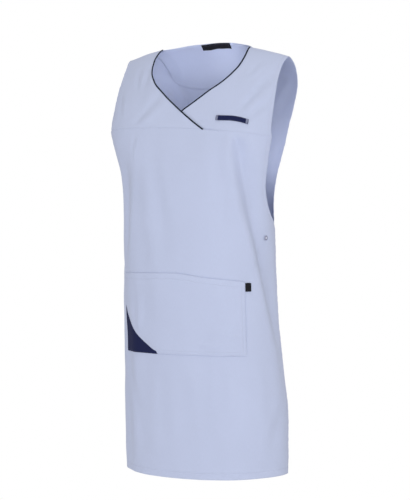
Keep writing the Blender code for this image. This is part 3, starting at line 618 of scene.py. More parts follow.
def fold_rise(girth, height):
    """How far the large folds move the cloth along its normal."""
    h = height / CM
    rise = np.zeros(np.broadcast(girth, height).shape)
    for g_top, h_top, g_mid, h_mid, g_low, h_low, depth, ridge, width in FOLDS:
        line = curve([(h_low, g_low), (h_mid, g_mid), (h_top, g_top)], h)[0]
        aside = (girth / CM - line) / width * (1 if g_top >= 0 else -1)
        closing = max(FOLD_CLOSING, (h_top - h_low) / 2)
        opened = smooth_step((h_top + FOLD_LEAD - h) / FOLD_OPENING)
        fade = opened * smooth_step((h - (h_low - FOLD_TAIL)) / closing)
        rise += fade * trough(aside, depth, ridge) * MM
    return rise + near_fold_rise(girth, h)


def near_fold_rise(girth, h):
    """The deep fold on the wearer's left: a sharp inner wall under a ridge, and a long outer wall."""
    line, depth, inner, outer, ridge = curve(NEAR_FOLD, h)
    gap = girth / CM - line
    bottom = np.exp(-(gap / np.where(gap < 0, inner, outer)) ** 2)
    return (ridge * np.exp(-(gap / inner + RIDGE_PLACE) ** 2) - depth * bottom) * MM


def crease_rise(creases, across, height):
    """How far a table's creases move the cloth along its normal."""
    rise = np.zeros(np.broadcast(across, height).shape)
    lead, opening, closing = CREASE_ENDS
    for a_x, a_z, b_x, b_z, bow, depth, ridge, width in creases:
        length = np.hypot(b_x - a_x, b_z - a_z)
        along_x = (b_x - a_x) / length
        along_z = (b_z - a_z) / length
        x = across / CM - a_x
        z = height / CM - a_z
        part = (x * along_x + z * along_z) / length
        inside = np.clip(part, 0.0, 1.0)
        bowed = bow * 4 * inside * (1 - inside)
        aside = (x * along_z - z * along_x - bowed) / (width * (CREASE_START + CREASE_GAIN * inside))
        fade = smooth_step((part + lead) / opening) * smooth_step((1 + lead - part) / closing)
        rise += fade * trough(aside, depth, ridge) * MM
    return rise


def swell(across, height):
    """The slack cloth's broad, faint unevenness, the same for layers that lie on each other."""
    x = across / CM
    z = height / CM
    waves = 0.0
    for share, x_rate, z_rate, start, other_z_rate, other_x_rate, other_start in SWELL_WAVES:
        waves = waves + (share * np.sin(x * x_rate + z * z_rate + start)
                         * np.sin(z * other_z_rate + x * other_x_rate + other_start))
    return SWELL * waves


def pucker(along, away, reach=PUCKER_REACH, depth=PUCKER):
    """Small waves that a line of stitches draws into the cloth beside it."""
    x = along / MM
    waves = 0.0
    for share, rate, start in PUCKER_WAVES:
        waves = waves + share * np.sin(x * rate + start)
    return depth * waves * np.exp(-(away / reach) ** 2)


def ring_rise(girth, height):
    """The folds and creases of the lower front and of what lies on it."""
    opened = smooth_step((seam_height(girth) - height) / SEAM_FADE)
    small = crease_rise(RING_CREASES, girth, height) + swell(girth, height)
    return (fold_rise(girth, height) + small) * opened


def yoke_rise(across, height):
    above = smooth_step((height - seam_height(across)) / YOKE_FADE)
    return (crease_rise(YOKE_CREASES, across, height) + swell(across, height)) * above


def spread(low, high, first, last, count):
    """Lines from low to high: at the distances first (mm) from low, count even ones, then last from high."""
    low = np.asarray(low, float)[..., None]
    high = np.asarray(high, float)[..., None]
    way = np.sign(high - low)
    head = low + way * np.array(first) * MM
    tail = high - way * np.array(last[::-1]) * MM
    shares = np.linspace(0.0, 1.0, count + 2)[1:-1]
    middle = blend(head[..., -1:], tail[..., :1], shares)
    return np.concatenate([head, middle, tail], axis=-1)


def grid_normals(points):
    """Outward unit normals of a grid of points."""
    normals = unit(np.cross(np.gradient(points, axis=1), np.gradient(points, axis=0)))
    inside = points * (0, 0, 1) + INSIDE_PLACE
    return -normals if np.sum(normals * (points - inside)) < 0 else normals


def shift(points, distance):
    """A grid moved along its own normals."""
    return points + grid_normals(points) * np.asarray(distance)[..., None]


def new_object(name, points, faces, look, replaced=()):
    material, slot = look[:2]
    mesh = bpy.data.meshes.new(name)
    mesh.from_pydata(points.tolist(), [], faces)
    mesh.validate()
    mesh.shade_smooth()
    mesh.materials.append(material)
    piece = bpy.data.objects.new(name, mesh)
    bpy.context.scene.collection.objects.link(piece)
    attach(piece, "root")
    if replaced:
        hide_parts(*replaced)
    return piece


def add_places(piece, name, places):
    """A UV layer that gives each vertex its place."""
    layer = piece.data.uv_layers.new(name=name)
    loops = np.empty(len(piece.data.loops), int)
    piece.data.loops.foreach_get("vertex_index", loops)
    layer.data.foreach_set("uv", places[loops].astype(np.float32).ravel())


def ring_faces(count, sides):
    """Quads between rings of vertices that follow each other."""
    faces = []
    for ring in range(count - 1):
        for k in range(sides):
            after = (k + 1) % sides
            faces.append([ring * sides + k, ring * sides + after,
                          (ring + 1) * sides + after, (ring + 1) * sides + k])
    return faces


def shell(node_name, points, out, inner, places, look, group="", seams=(), inside=False):
    """A thin closed shell on a grid of points, with a rounded rim and with rows of stitches.

    out and inner are the distances of its two faces along the normals; places are the cloth's own
    coordinates in metres, which the weave follows; seams are the stitched parts of the grid, on the outer
    face or on the one toward the tunic's inside.
    """
    normals = grid_normals(points)
    tall, wide = points.shape[:2]
    out = np.broadcast_to(out, (tall, wide))
    inner = np.broadcast_to(inner, (tall, wide))
    faces_out = points + normals * out[..., None]
    faces_in = points + normals * inner[..., None]
    count = tall * wide
    index = np.arange(count).reshape(tall, wide)
    rim = np.concatenate([index[0, :-1], index[:-1, -1], index[-1, :0:-1], index[:0:-1, 0]])
    next_in = np.concatenate([index[1, :-1], index[:-1, -2], index[-2, :0:-1], index[:0:-1, 1]])
    middle = ((faces_out + faces_in) / 2).reshape(-1, 3)
    thick = (out - inner).reshape(-1)[rim][:, None]
    rounds = middle[rim] + unit(middle[rim] - middle[next_in]) * thick * RIM_ROUND
    vertices = np.concatenate([faces_out.reshape(-1, 3), faces_in.reshape(-1, 3), rounds])
    corners = (index[:-1, :-1], index[1:, :-1], index[1:, 1:], index[:-1, 1:])
    quads = np.stack(corners, axis=-1).reshape(-1, 4)
    ring = np.arange(len(rim)) + 2 * count
    after = np.roll(ring, -1)
    rim_after = np.roll(rim, -1)
    upper = np.stack([rim, rim_after, after, ring], axis=-1)
    lower = np.stack([ring, after, rim_after + count, rim + count], axis=-1)
    faces = np.concatenate([quads, quads[:, ::-1] + count, upper, lower])
    if np.dot(np.cross(points[1, 0] - points[0, 0], points[0, 1] - points[0, 0]), normals[0, 0]) < 0:
        faces = faces[:, ::-1]
    piece = new_object(node_name + look[2], vertices, faces.tolist(), look, [node_name])
    flat = np.stack(places, axis=-1).reshape(-1, 2)
    add_places(piece, "cloth", np.concatenate([flat, flat, flat[rim]]))
    for seam in seams:
        if inside:
            stitch(group, faces_in[seam], -normals[seam])
        else:
            stitch(group, faces_out[seam], normals[seam])
    return piece


stitch_lines = {}


def stitch(group, points, normals):
    """Keeps the places of a line of stitches along points on a cloth's face."""
    lengths = path_lengths(points)
    count = int((lengths[-1] - STITCH_PITCH) / STITCH_PITCH)
    if count < 2:
        return
    middles = (np.arange(count) + STITCH_START) * (lengths[-1] - STITCH_PITCH / 2) / count

    def at(place, source):
        return np.stack([np.interp(place, lengths, source[:, k]) for k in range(3)], axis=-1)

    along = unit(at(middles + STITCH / 2, points) - at(middles - STITCH / 2, points))
    up = at(middles, normals)
    up = unit(up - along * np.sum(up * along, axis=1, keepdims=True))
    stitch_lines.setdefault(group, []).append((at(middles, points), along, up, STITCH))


def make_stitches():
    """One mesh of threads for each group of stitch lines."""
    made = {}
    pattern = np.array(ring_faces(len(THREAD_RINGS), THREAD_SIDES))
    size = len(THREAD_RINGS) * THREAD_SIDES
    for group in [name for name in stitch_lines if name not in SEWN_WITH] + list(SEWN_WITH):
        vertices = []
        faces = []
        start = 0
        for centres, along, up, length in stitch_lines[group]:
            aside = np.cross(along, up)
            loops = []
            for place, radius, lift in THREAD_RINGS:
                for k in range(THREAD_SIDES):
                    angle = 2 * pi * k / THREAD_SIDES
                    loops.append(centres + along * place * length / 2
                                 + aside * cos(angle) * radius * THREAD
                                 + up * (sin(angle) * radius * THREAD_FLAT + lift * THREAD_DIP
                                         + THREAD_LIFT) * THREAD)
            vertices.append(np.stack(loops, axis=1).reshape(-1, 3))
            offsets = start + size * np.arange(len(centres))
            faces.append((pattern[None] + offsets[:, None, None]).reshape(-1, 4))
            start += size * len(centres)
        made[group] = new_object("stitches_" + group, np.concatenate(vertices),
                                 np.concatenate(faces).tolist(), SEWN_WITH.get(group, BLUE_THREAD))
    return made


def feed(tree, target, inputs):
    """Sets a node's inputs to values, or links them to other nodes' outputs."""
    for key, value in inputs.items():
        if isinstance(value, bpy.types.NodeSocket):
            tree.links.new(value, target.inputs[key])
        else:
            target.inputs[key].default_value = value


def node(tree, kind, inputs, **settings):
    """The first output of a new node."""
    made = tree.nodes.new(kind)
    for key, value in settings.items():
        setattr(made, key, value)
    feed(tree, made, inputs)
    return made.outputs[0]


def calculate(tree, operation, *values):
    return node(tree, "ShaderNodeMath", dict(enumerate(values)), operation=operation)


def noise(tree, place, scale, detail):
    return node(tree, "ShaderNodeTexNoise", {"Vector": place, "Scale": scale, "Detail": detail})


def own_place(tree):
    """The place in the piece's own coordinates."""
    return tree.nodes.new("ShaderNodeTexCoord").outputs["Object"]


def new_material(name, settings):
    material = bpy.data.materials.new(name)
    material.use_nodes = True
    tree = material.node_tree
    feed(tree, tree.nodes["Principled BSDF"], settings)
    return material, tree


def paint(tree, colour, shade, normal):
    """Gives the shader its colour, which the shade makes a little lighter and darker, and its normal."""
    tint = node(tree, "ShaderNodeVectorMath", {0: colour, "Scale": shade}, operation="SCALE")
    feed(tree, tree.nodes["Principled BSDF"], {"Base Color": tint, "Normal": normal})


def cloth_material(name, colour, roughness, sheen, weave=0.25, slack=0.12, pitch=WEAVE_PITCH, shine=0.3):
    """Woven cloth: a plain weave along the cloth's own lines, faint unevenness of the dye, small wrinkles."""
    material, tree = new_material(name, {"Roughness": roughness, "Sheen Weight": sheen,
                                         "Sheen Roughness": SHEEN_ROUGHNESS, "Specular IOR Level": shine})
    lines = node(tree, "ShaderNodeUVMap", {}, uv_map="cloth")
    parts = node(tree, "ShaderNodeSeparateXYZ", {0: lines}).node
    turns = [calculate(tree, "MULTIPLY", part, pi / pitch) for part in parts.outputs[:2]]
    waves = [calculate(tree, "SINE", turn) for turn in turns]
    stretched = node(tree, "ShaderNodeMapping", {0: lines, "Scale": SLUB_STRETCH})
    place = own_place(tree)
    mixed = calculate(tree, "ADD", noise(tree, stretched, *SLUB_NOISE), noise(tree, place, *DYE_NOISE))
    low, high = MOTTLE_RANGE
    shade = node(tree, "ShaderNodeMapRange", {"Value": mixed, "From Min": low, "From Max": high,
                                              "To Min": 1 - MOTTLE, "To Max": 1 + MOTTLE})
    soft = node(tree, "ShaderNodeBump", {"Height": noise(tree, place, *WRINKLE_NOISE),
                                         "Strength": slack, "Distance": WRINKLE})
    fine = node(tree, "ShaderNodeBump", {"Height": calculate(tree, "MULTIPLY", *waves), "Normal": soft,
                                         "Strength": weave, "Distance": WEAVE})
    paint(tree, colour, shade, fine)
    return material


def moulded_material(name, colour, roughness, bump):
    """Moulded plastic or spun thread, with a faint unevenness."""
    material, tree = new_material(name, {"Roughness": roughness})
    grain = noise(tree, own_place(tree), *GRAIN_NOISE)
    shade = node(tree, "ShaderNodeMapRange", {"Value": grain, "To Min": 1 - GRAIN, "To Max": 1 + GRAIN})
    relief = node(tree, "ShaderNodeBump", {"Height": grain, "Strength": bump, "Distance": GRAIN_DEPTH})
    paint(tree, colour, shade, relief)
    return material


def paint_stud_shade(material):
    """Paints shade onto the cap: a dark band in the moulded groove round its middle and a darker rim at its
    edge.
    """
    tree = material.node_tree
    shader = tree.nodes["Principled BSDF"]
    parts = node(tree, "ShaderNodeSeparateXYZ", {0: node(tree, "ShaderNodeUVMap", {}, uv_map="round")})
    ramp = node(tree, "ShaderNodeValToRGB", {0: parts})
    elements = ramp.node.color_ramp.elements
    while len(elements) < len(STUD_PAINTED_SHADE):
        elements.new(0.5)
    for element, (share, shade) in zip(elements, STUD_PAINTED_SHADE):
        element.position = share
        element.color = (shade, shade, shade ** STUD_BLUE, 1)
    grained = shader.inputs["Base Color"].links[0].from_socket
    with_painted_shade = node(tree, "ShaderNodeVectorMath", {0: grained, 1: ramp}, operation="MULTIPLY")
    feed(tree, shader, {"Base Color": with_painted_shade})


# Looks: material, slot and, for a piece that replaces a solid, what its name adds to the node's
TUNIC = (cloth_material("light_blue_poplin", (0.475, 0.528, 0.722), 0.85, 0.05), "tunic_cloth", "_cloth")
NAVY = (cloth_material("navy_poplin", (0.009, 0.013, 0.060), 0.84, 0.01, shine=0.17), "navy_cloth", "_cloth")
BINDING = (cloth_material("navy_binding", (0.011, 0.017, 0.034), 0.78, 0.01, 0.4, 0.05, shine=0.2),
           "piping_cloth", "_binding")
RIBBON = (cloth_material("black_ribbon", (0.010, 0.010, 0.014), 0.70, 0.0, 0.6, 0.05, RIBBON_PITCH, 0.12),
          "label_cloth", "_ribbon")
# Light blue thread: the cloth's own tone, made a little darker as painted shade along the stitch lines
BLUE_THREAD = (moulded_material("light_blue_thread", (0.45, 0.48, 0.64), *THREAD_FINISH), "tunic_cloth")
NAVY_THREAD = (moulded_material("navy_thread", (0.035, 0.042, 0.10), *THREAD_FINISH), "navy_cloth")
TACK_THREAD = (moulded_material("tack_thread", (0.20, 0.22, 0.34), *THREAD_FINISH), "navy_cloth")
STUD_PLASTIC = (moulded_material("pale_stud_plastic", (0.60, 0.64, 0.78), *STUD_FINISH), "stud_plastic",
                "_cap")
SEWN_WITH = {"inset": NAVY_THREAD, "welt": NAVY_THREAD, "label": NAVY_THREAD, "bar_tacks": TACK_THREAD}


def yoke_seam_point(side, part):
    """Place on the yoke seam, from a front's tail at 0 to its armhole at 1, across from its own side."""
    girth = side * blend(NECKLINE[-1][0] * CM, FRONT_EDGE[0][1] * CM, part)
    height = seam_height(girth) + SEAM / 2
    return side * rings.points(girth, height)[..., 0], height


def yoke_plane(side, across_share, down_share):
    """Places on a yoke as seen from the front, filled in between its four drawn edges."""
    arm = path_point(FRONT_ARMHOLE, down_share)
    neck = path_point(NECKLINE, down_share)
    low = yoke_seam_point(side, across_share)
    top_across = blend(NECK_HALF, TIP_HALF, across_share)
    top = (top_across, crest(top_across)[0])
    inner_low = yoke_seam_point(side, 0.0)
    outer_low = yoke_seam_point(side, 1.0)
    neck_end = path_point(NECKLINE, 1.0)
    arm_end = path_point(FRONT_ARMHOLE, 1.0)
    corners = ((NECK_HALF, 0.0), (TIP_HALF, -TIP_DROP), inner_low, outer_low)
    place = []
    for axis in (0, 1):
        neck_side = neck[axis] + (inner_low[axis] - neck_end[axis]) * down_share
        arm_side = arm[axis] + (outer_low[axis] - arm_end[axis]) * down_share
        a, b, c, d = (corner[axis] for corner in corners)
        flat = blend(blend(a, b, across_share), blend(c, d, across_share), down_share)
        beside = blend(neck_side, arm_side, across_share)
        place.append(beside + blend(top[axis], low[axis], down_share) - flat)
    return side * place[0], place[1]


def under_shift(across, height):
    """How far the under front sinks where the over front crosses it."""
    beside = smooth_step((UNDER_START - across) / UNDER_FADE)
    below = smooth_step((UNDER_TOP - height) / UNDER_FADE)
    return -UNDERLAP * beside * below


def make_yoke(side, node_name):
    down = (np.arange(YOKE_ROWS) / YOKE_ROWS) ** YOKE_ROW_POWER
    seam_rows = 1 - np.array(SEAM_LINES[::-1]) * MM / YOKE_LENGTH
    down = np.concatenate([down[down < seam_rows[0] - YOKE_ROW_GAP], seam_rows])[:, None]
    ends = seen_point(*yoke_plane(side, np.linspace(0.0, 1.0, YOKE_CHORDS + 1)[None, :], down), True)
    widths = np.linalg.norm(np.diff(ends, axis=1), axis=2).sum(axis=1)
    shares = spread(np.zeros(len(down)), widths, NECK_LINES, EDGE_LINES, YOKE_COLUMNS) / widths[:, None]
    across, height = yoke_plane(side, shares, np.broadcast_to(down, shares.shape))
    rise = yoke_rise(across, height)
    if side > 0:
        rise = rise + under_shift(across, height)
    neck_side = shares * widths[:, None]
    arm_side = (1 - shares) * widths[:, None]
    along = np.broadcast_to(down, shares.shape) * YOKE_LENGTH
    rise += pucker(along + YOKE_PUCKER_SHIFT * side, arm_side) + pucker(along, neck_side, *NECK_PUCKER)
    rise += pucker(across, (1 - down) * YOKE_LENGTH, YOKE_SEAM_PUCKER)
    arm_stitch = shares.shape[1] - 1 - EDGE_STITCH
    seam_stitch = len(down) - 1 - SEAM_STITCH
    rise[:, [NECK_STITCH, arm_stitch]] -= GROOVE
    rise[seam_stitch, :] -= GROOVE
    points = shift(seen_point(across, height, True), rise)
    seams = [np.s_[:, NECK_STITCH], np.s_[:, arm_stitch]]
    seams += [np.s_[row, 2:-2] for row in (seam_stitch, SHOULDER_STITCH)]
    return shell(node_name, points, CLOTH / 2, -CLOTH / 2, (across, height), TUNIC, node_name, seams), points


def hem_height(girths):
    """Height of the hem, which rises a little toward the sides."""
    return -LENGTH + HEM_RISE * np.sin(pi * girths / rings.half_girth(-LENGTH)) ** 4


def make_panel(node_name, points, rise, hem_gap, places, top, more_seams=()):
    """The front or the back, with its turned-up hem and with side stitches from the row top downwards."""
    rows, columns = rise.shape
    sides = [EDGE_STITCH, columns - 1 - EDGE_STITCH]
    hem = rows - 1 - HEM_STITCH
    rise[:, sides] -= GROOVE
    rise[hem, :] -= GROOVE
    inner = -CLOTH / 2 - HEM_CLOTH * smooth_step((HEM + HEM_MARGIN - hem_gap) / HEM_STEP)
    seams = [np.s_[top:, sides[0]], np.s_[top:, sides[1]], np.s_[hem, 3:-3], *more_seams]
    return shell(node_name, shift(points, rise), CLOTH / 2, inner, places, TUNIC, node_name, seams)


def make_front_panel():
    top = seam_height(0.0)
    shares = spread(0.0, LENGTH + top, SEAM_LINES, HEM_LINES, FRONT_ROWS) / (LENGTH + top)
    level = blend(top, -LENGTH, shares)
    edge = table(FRONT_EDGE, level)
    girths = spread(-edge, edge, EDGE_LINES, EDGE_LINES, FRONT_COLUMNS)
    upper = seam_height(girths) - SEAM / 2
    near_seam = smooth_step(1 - shares[:, None] / SEAM_SHARE)
    near_hem = smooth_step(1 - (1 - shares[:, None]) / HEM_SHARE)
    hem = hem_height(girths[-1])
    heights = level[:, None] + (upper - top) * near_seam + (hem[None, :] + LENGTH) * near_hem
    hem_gap = heights - heights[-1:]
    rise = ring_rise(girths, heights)
    rise += (pucker(heights, edge[:, None] - np.abs(girths)) + pucker(girths, hem_gap - HEM_PUCKER_PLACE)
             + pucker(girths, heights - upper, FRONT_SEAM_PUCKER))
    return make_panel("front_panel", rings.points(girths, heights), rise, hem_gap, (girths, heights), 0)


def back_top(across):
    """Height of the back's upper edge: the neck edge, then the shoulder seam."""
    reach = np.minimum(np.abs(across), NECK_HALF)
    inside = BACK_NECK_RISE * (1 - (reach / NECK_HALF) ** 2)
    return np.where(np.abs(across) >= NECK_HALF, crest(across)[0], inside)


def round_length(drop):
    """Length along the shoulder's round and the back below it, from the drop below the crest."""
    reach = BACK_FALL[0]
    inside = reach * np.arccos(np.clip(1 - drop / reach, -1.0, 1.0))
    return np.where(drop < reach, inside, reach * pi / 2 + (drop - reach) * FLAT_SHARE)


def round_drop(length):
    reach = BACK_FALL[0]
    inside = reach * (1 - np.cos(np.minimum(length / reach, pi / 2)))
    return np.where(length < reach * pi / 2, inside, reach + (length - reach * pi / 2) / FLAT_SHARE)


def round_height(across, top, low, part):
    """Height at a share of the way from top to low on the back, close set on the shoulder's round."""
    crest_height = np.maximum(crest(across)[0], top)
    start = round_length(crest_height - top)
    return crest_height - round_drop(blend(start, round_length(crest_height - low), part))


def back_shift(height):
    """How far the back sinks below the armholes, to lie inside the front."""
    return -BACK_TUCK * smooth_step((TUCK_TOP - height) / TUCK_FADE)


def back_join_girth(across):
    """Girth of a place on the back's left half at BACK_JOIN."""
    middle = len(RingTable.ANGLES) // 2
    row = int(round((RingTable.TOP - BACK_JOIN) / RingTable.STEP))
    return np.interp(across, rings.across[row, middle:][::-1], rings.girths[row, middle:][::-1])


def back_lower_girth(share, height):
    """Girth of a back column below BACK_JOIN; the centre back is half the ring's girth away."""
    half = rings.half_girth(height)
    edge = table(BACK_EDGE, height)
    level = half - np.abs(share) * (half - edge)
    join_half = rings.half_girth(BACK_JOIN)
    join_edge = table(BACK_EDGE, BACK_JOIN)
    seen = back_join_girth(np.abs(share) * BACK_ARMHOLE[-1][1] * CM)
    join_share = (join_half - seen) / (join_half - join_edge)
    started = half - join_share * (half - edge)
    girth = blend(started, level, smooth_step((BACK_JOIN - height) / COLUMN_FADE))
    return np.where(share >= 0, girth, -girth)


def back_top_rise(across, height):
    below = smooth_step((height - BACK_JOIN) / BACK_TOP_FADE)
    return crease_rise(BACK_TOP_CREASES, across, height) * below


def back_swell(girth, height):
    """The back's slack: the front's own near the sides, so that the layers keep apart, and another behind."""
    reach = np.abs(girth)
    half = rings.half_girth(np.minimum(height, BACK_JOIN))
    behind = smooth_step((reach - BEHIND_START) / BEHIND_FADE)
    from_middle = np.sign(girth) * (half - reach)
    return blend(swell(girth, height), swell(from_middle + BEHIND_SHIFT, height), behind)


def back_top_girth(across):
    return np.where(across >= 0, 1.0, -1.0) * back_join_girth(np.abs(across))


def back_columns(width):
    """Column places of the back as shares of its half width, fixed distances from the edges at the sides."""
    return spread(-width, width, EDGE_LINES, EDGE_LINES, BACK_COLUMNS) / width[:, None]


def back_upper():
    """The back above BACK_JOIN: its points, rise and places, across and height."""
    part = np.linspace(0.0, 1.0, BACK_TOP_ROWS + 1)
    edge = table(BACK_ARMHOLE, round_height(TIP_HALF, -TIP_DROP, BACK_JOIN, part))
    shares = back_columns(edge)
    across = shares * edge[:, None]
    along = shares * TIP_HALF
    height = round_height(along, back_top(along), BACK_JOIN, part[:, None])
    rise = back_shift(height) + back_top_rise(across, height)
    rise += pucker(height, (1 - np.abs(shares)) * edge[:, None])
    rise += back_swell(back_top_girth(across), height)
    return seen_point(across, height, False), rise, across, height


def back_lower():
    """The back below BACK_JOIN: its points, rise and places, across from the centre back and height."""
    levels = spread(BACK_JOIN, -LENGTH, BACK_JOIN_LINES, HEM_LINES, BACK_LOW_ROWS)
    half = rings.half_girth(levels)
    width = half - table(BACK_EDGE, levels)
    shares = back_columns(width)
    girths = back_lower_girth(shares, levels[:, None])
    near_hem = smooth_step(1 - (levels[:, None] + LENGTH) / BACK_HEM_FADE)
    heights = levels[:, None] + (hem_height(girths[-1])[None, :] + LENGTH) * near_hem
    rise = back_shift(heights) + (fold_rise(girths, heights) + crease_rise(RING_CREASES, girths, heights))
    rise += (pucker(heights, (1 - np.abs(shares)) * width[:, None])
             + pucker(girths, heights - heights[-1:] - HEM_PUCKER_PLACE))
    rise += back_swell(girths, heights)
    from_middle = np.sign(shares) * (half[:, None] - np.abs(girths))
    return rings.points(girths, heights), rise, from_middle, heights


def make_back_panel():
    upper = back_upper()
    lower = back_lower()
    points, rise, across, height = (np.concatenate(halves) for halves in zip(upper, lower))
    hem_gap = np.concatenate([np.full(upper[3].shape, LENGTH), lower[3] - lower[3][-1:]])
    neck_seam = np.s_[BACK_NECK_STITCH, 2:-2]
    return make_panel("back_panel", points, rise, hem_gap, (across, height), 2, [neck_seam])


def even_grid(first, last, columns, rows):
    """Even places from first to last, the same in each row, and the rows' shares from 0 to 1."""
    across = np.broadcast_to(np.linspace(first, last, columns), (rows, columns))
    return across, np.linspace(0.0, 1.0, rows)[:, None]


def facing_low(across):
    share = np.abs(across) / FACING_HALF
    return FACING_LOW * (1 - share ** FACING_ROUND) ** (1 / FACING_ROUND)


def back_inside(across, height):
    """Points on the back's middle surface, with its own creases, for what lies inside it."""
    points = seen_point(across, height, False)
    return shift(points, back_top_rise(across, height) + back_swell(back_top_girth(across), height))


def make_facing():
    side = FACING_HALF - FACING_MARGIN
    across, part = even_grid(-side, side, FACING_COLUMNS, FACING_ROWS)
    height = round_height(across, back_top(across) - FACING_DROP, facing_low(across), part)
    tacked = smooth_step((part - FACING_TACKED) / (1 - FACING_TACKED))
    lift = blend(FACING_LIFT, CLOTH / 2 + SEAM, tacked)
    thick = blend(INNER_CLOTH, FACING_EDGE_CLOTH, tacked)
    return shell("back_neck_facing", back_inside(across, height), -lift, -lift - thick,
                 (across, height), TUNIC, "facing", [np.s_[-3, 2:-2]], True)


def make_label():
    """A woven ribbon, sewn along its top and a little wavy below."""
    middle = LABEL_ACROSS
    half = LABEL_WIDTH / 2
    across, part = even_grid(middle - half, middle + half, LABEL_COLUMNS, LABEL_ROWS)
    wave = LABEL_WAVE * np.sin((across - middle) / LABEL_WIDTH * LABEL_WAVE_TURN + LABEL_WAVE_START)
    height = back_top(across) + LABEL_RISE + wave - (LABEL_DEPTH + LABEL_RISE) * part
    across = across - LABEL_LEAN * part
    loose = LABEL_LOOSE * part ** 2 * (1 + np.sin(across / CM * LABEL_LOOSE_RATE + LABEL_LOOSE_START))
    inner = -LABEL_LIFT - INNER_CLOTH - loose
    seams = [np.s_[2, 2:-2], np.s_[2:-1, 2], np.s_[2:-1, -3]]
    return shell("neck_label", back_inside(across, height), -LABEL_LIFT - loose, inner,
                 (across, height), RIBBON, "label", seams, True)


def on_front(girths, heights, relief):
    """Points on the lower front's middle surface, with its folds."""
    return shift(rings.points(girths, heights), ring_rise(girths, heights) + relief)


def make_patch(node_name, girths, heights, relief, look, group, seams):
    """A cloth that is sewn on the lower front."""
    points = on_front(girths, heights, relief)
    return shell(node_name, points, PATCH_LIFT + PATCH_CLOTH, PATCH_LIFT, (girths, heights), look,
                 group, seams)


def make_pocket():
    girths = spread(-POCKET_HALF, POCKET_HALF, POCKET_LINES, POCKET_LINES, POCKET_COLUMNS)
    tops = table(POCKET_TOP, girths)
    lows = np.where(girths < INSET_END, table(INSET_EDGE, girths), POCKET_BOTTOM)
    heights = spread(tops, lows, POCKET_TOP_LINES, POCKET_LINES, POCKET_ROWS).T
    rows, columns = heights.shape
    girths = np.broadcast_to(girths[None, :], heights.shape)
    side_gap = POCKET_HALF - np.abs(girths)
    inside = smooth_step(side_gap / POCKET_SIDE_FADE) * smooth_step((heights - lows) / POCKET_LOW_FADE)
    slack = np.maximum(crease_rise(POCKET_CREASES, girths, heights) + POCKET_SLACK, 0.0)
    relief = inside * POCKET_BULGE + slack * inside * smooth_step((tops - heights) / POCKET_TOP_FADE)
    relief += (POCKET_GROOVE + pucker(heights, side_gap, *POCKET_PUCKER)
               + pucker(girths, heights - lows, *POCKET_PUCKER))
    relief[POCKET_TOP_STITCH, :] -= POCKET_TOP_GROOVE
    seams = [np.s_[POCKET_TOP_STITCH, 2:-2]]
    for line in POCKET_STITCHES:
        sides = [line, columns - 1 - line]
        low = rows - 1 - line
        relief[:, sides] -= POCKET_GROOVE
        relief[low, :] -= POCKET_GROOVE
        seams += [np.s_[line:low + 1, side] for side in sides] + [np.s_[low, line:columns - line]]
    return make_patch("front_pocket", girths, heights, relief, TUNIC, "pocket", seams)


def make_inset():
    girths = spread(-POCKET_HALF, INSET_END, POCKET_LINES, INSET_LINES, INSET_COLUMNS)
    tops = table(INSET_EDGE, girths) - 2 * SEAM
    heights = blend(tops[None, :], POCKET_BOTTOM - LAYER, np.linspace(0.0, 1.0, INSET_ROWS)[:, None])
    girths = np.broadcast_to(girths[None, :], heights.shape)
    seams = [np.s_[1:-1, 2], np.s_[-2, 2:-4]]
    return make_patch("pocket_inset", girths, heights, 0.0, NAVY, "inset", seams)


def make_tab():
    """A folded ribbon, rounded where it stands off the front."""
    start = POCKET_HALF + TAB_GAP
    girths = np.linspace(start, start + TAB_WIDTH, TAB_COLUMNS)[None, :]
    heights = np.linspace(TAB_TOP, TAB_TOP - TAB_DEPTH, TAB_ROWS)[:, None]
    girths, heights = np.broadcast_arrays(girths, heights)
    lift = TAB_LOOP * np.sin(pi * np.clip((girths - start) / TAB_WIDTH, 0, 1)) ** TAB_ROUND
    return shell("pocket_tab", on_front(girths, heights, 0.0), PATCH_LIFT + CLOTH + lift,
                 PATCH_LIFT + lift * TAB_HOLLOW, (girths, heights), RIBBON)


def make_bar_tack(face, normals):
    """Close threads over an end of the welt."""
    last = len(face) - 1
    for row in np.linspace(0, last, TACK_THREADS):
        low = int(row)
        line = blend(face[low], face[min(low + 1, last)], row - low)
        middle = line.mean(axis=0, keepdims=True)
        normal = normals[low].mean(axis=0, keepdims=True)
        along = line[-1:] - line[:1]
        length = float(np.linalg.norm(along))
        tack = (middle + normal * TACK_LIFT, along / length, normal, length)
        stitch_lines.setdefault("bar_tacks", []).append(tack)


def make_welt():
    across, down = even_grid(WELT_INNER, WELT_OUTER, WELT_COLUMNS, WELT_ROWS)
    height = table(WELT_TOP, across) - WELT_DEPTH * down
    points = shift(seen_point(across, height, True), yoke_rise(across, height))
    out = PATCH_LIFT + CLOTH + WELT_CROWN * np.sin(pi * down)
    seams = [np.s_[1, 1:-1], np.s_[-2, 1:-1]]
    piece = shell("chest_welt", points, out, PATCH_LIFT, (across, height), NAVY, "welt", seams)
    normals = grid_normals(points)
    for columns in (np.s_[:TACK_COLUMNS], np.s_[-TACK_COLUMNS:]):
        make_bar_tack(shift(points, out)[:, columns], normals[:, columns])
    return piece


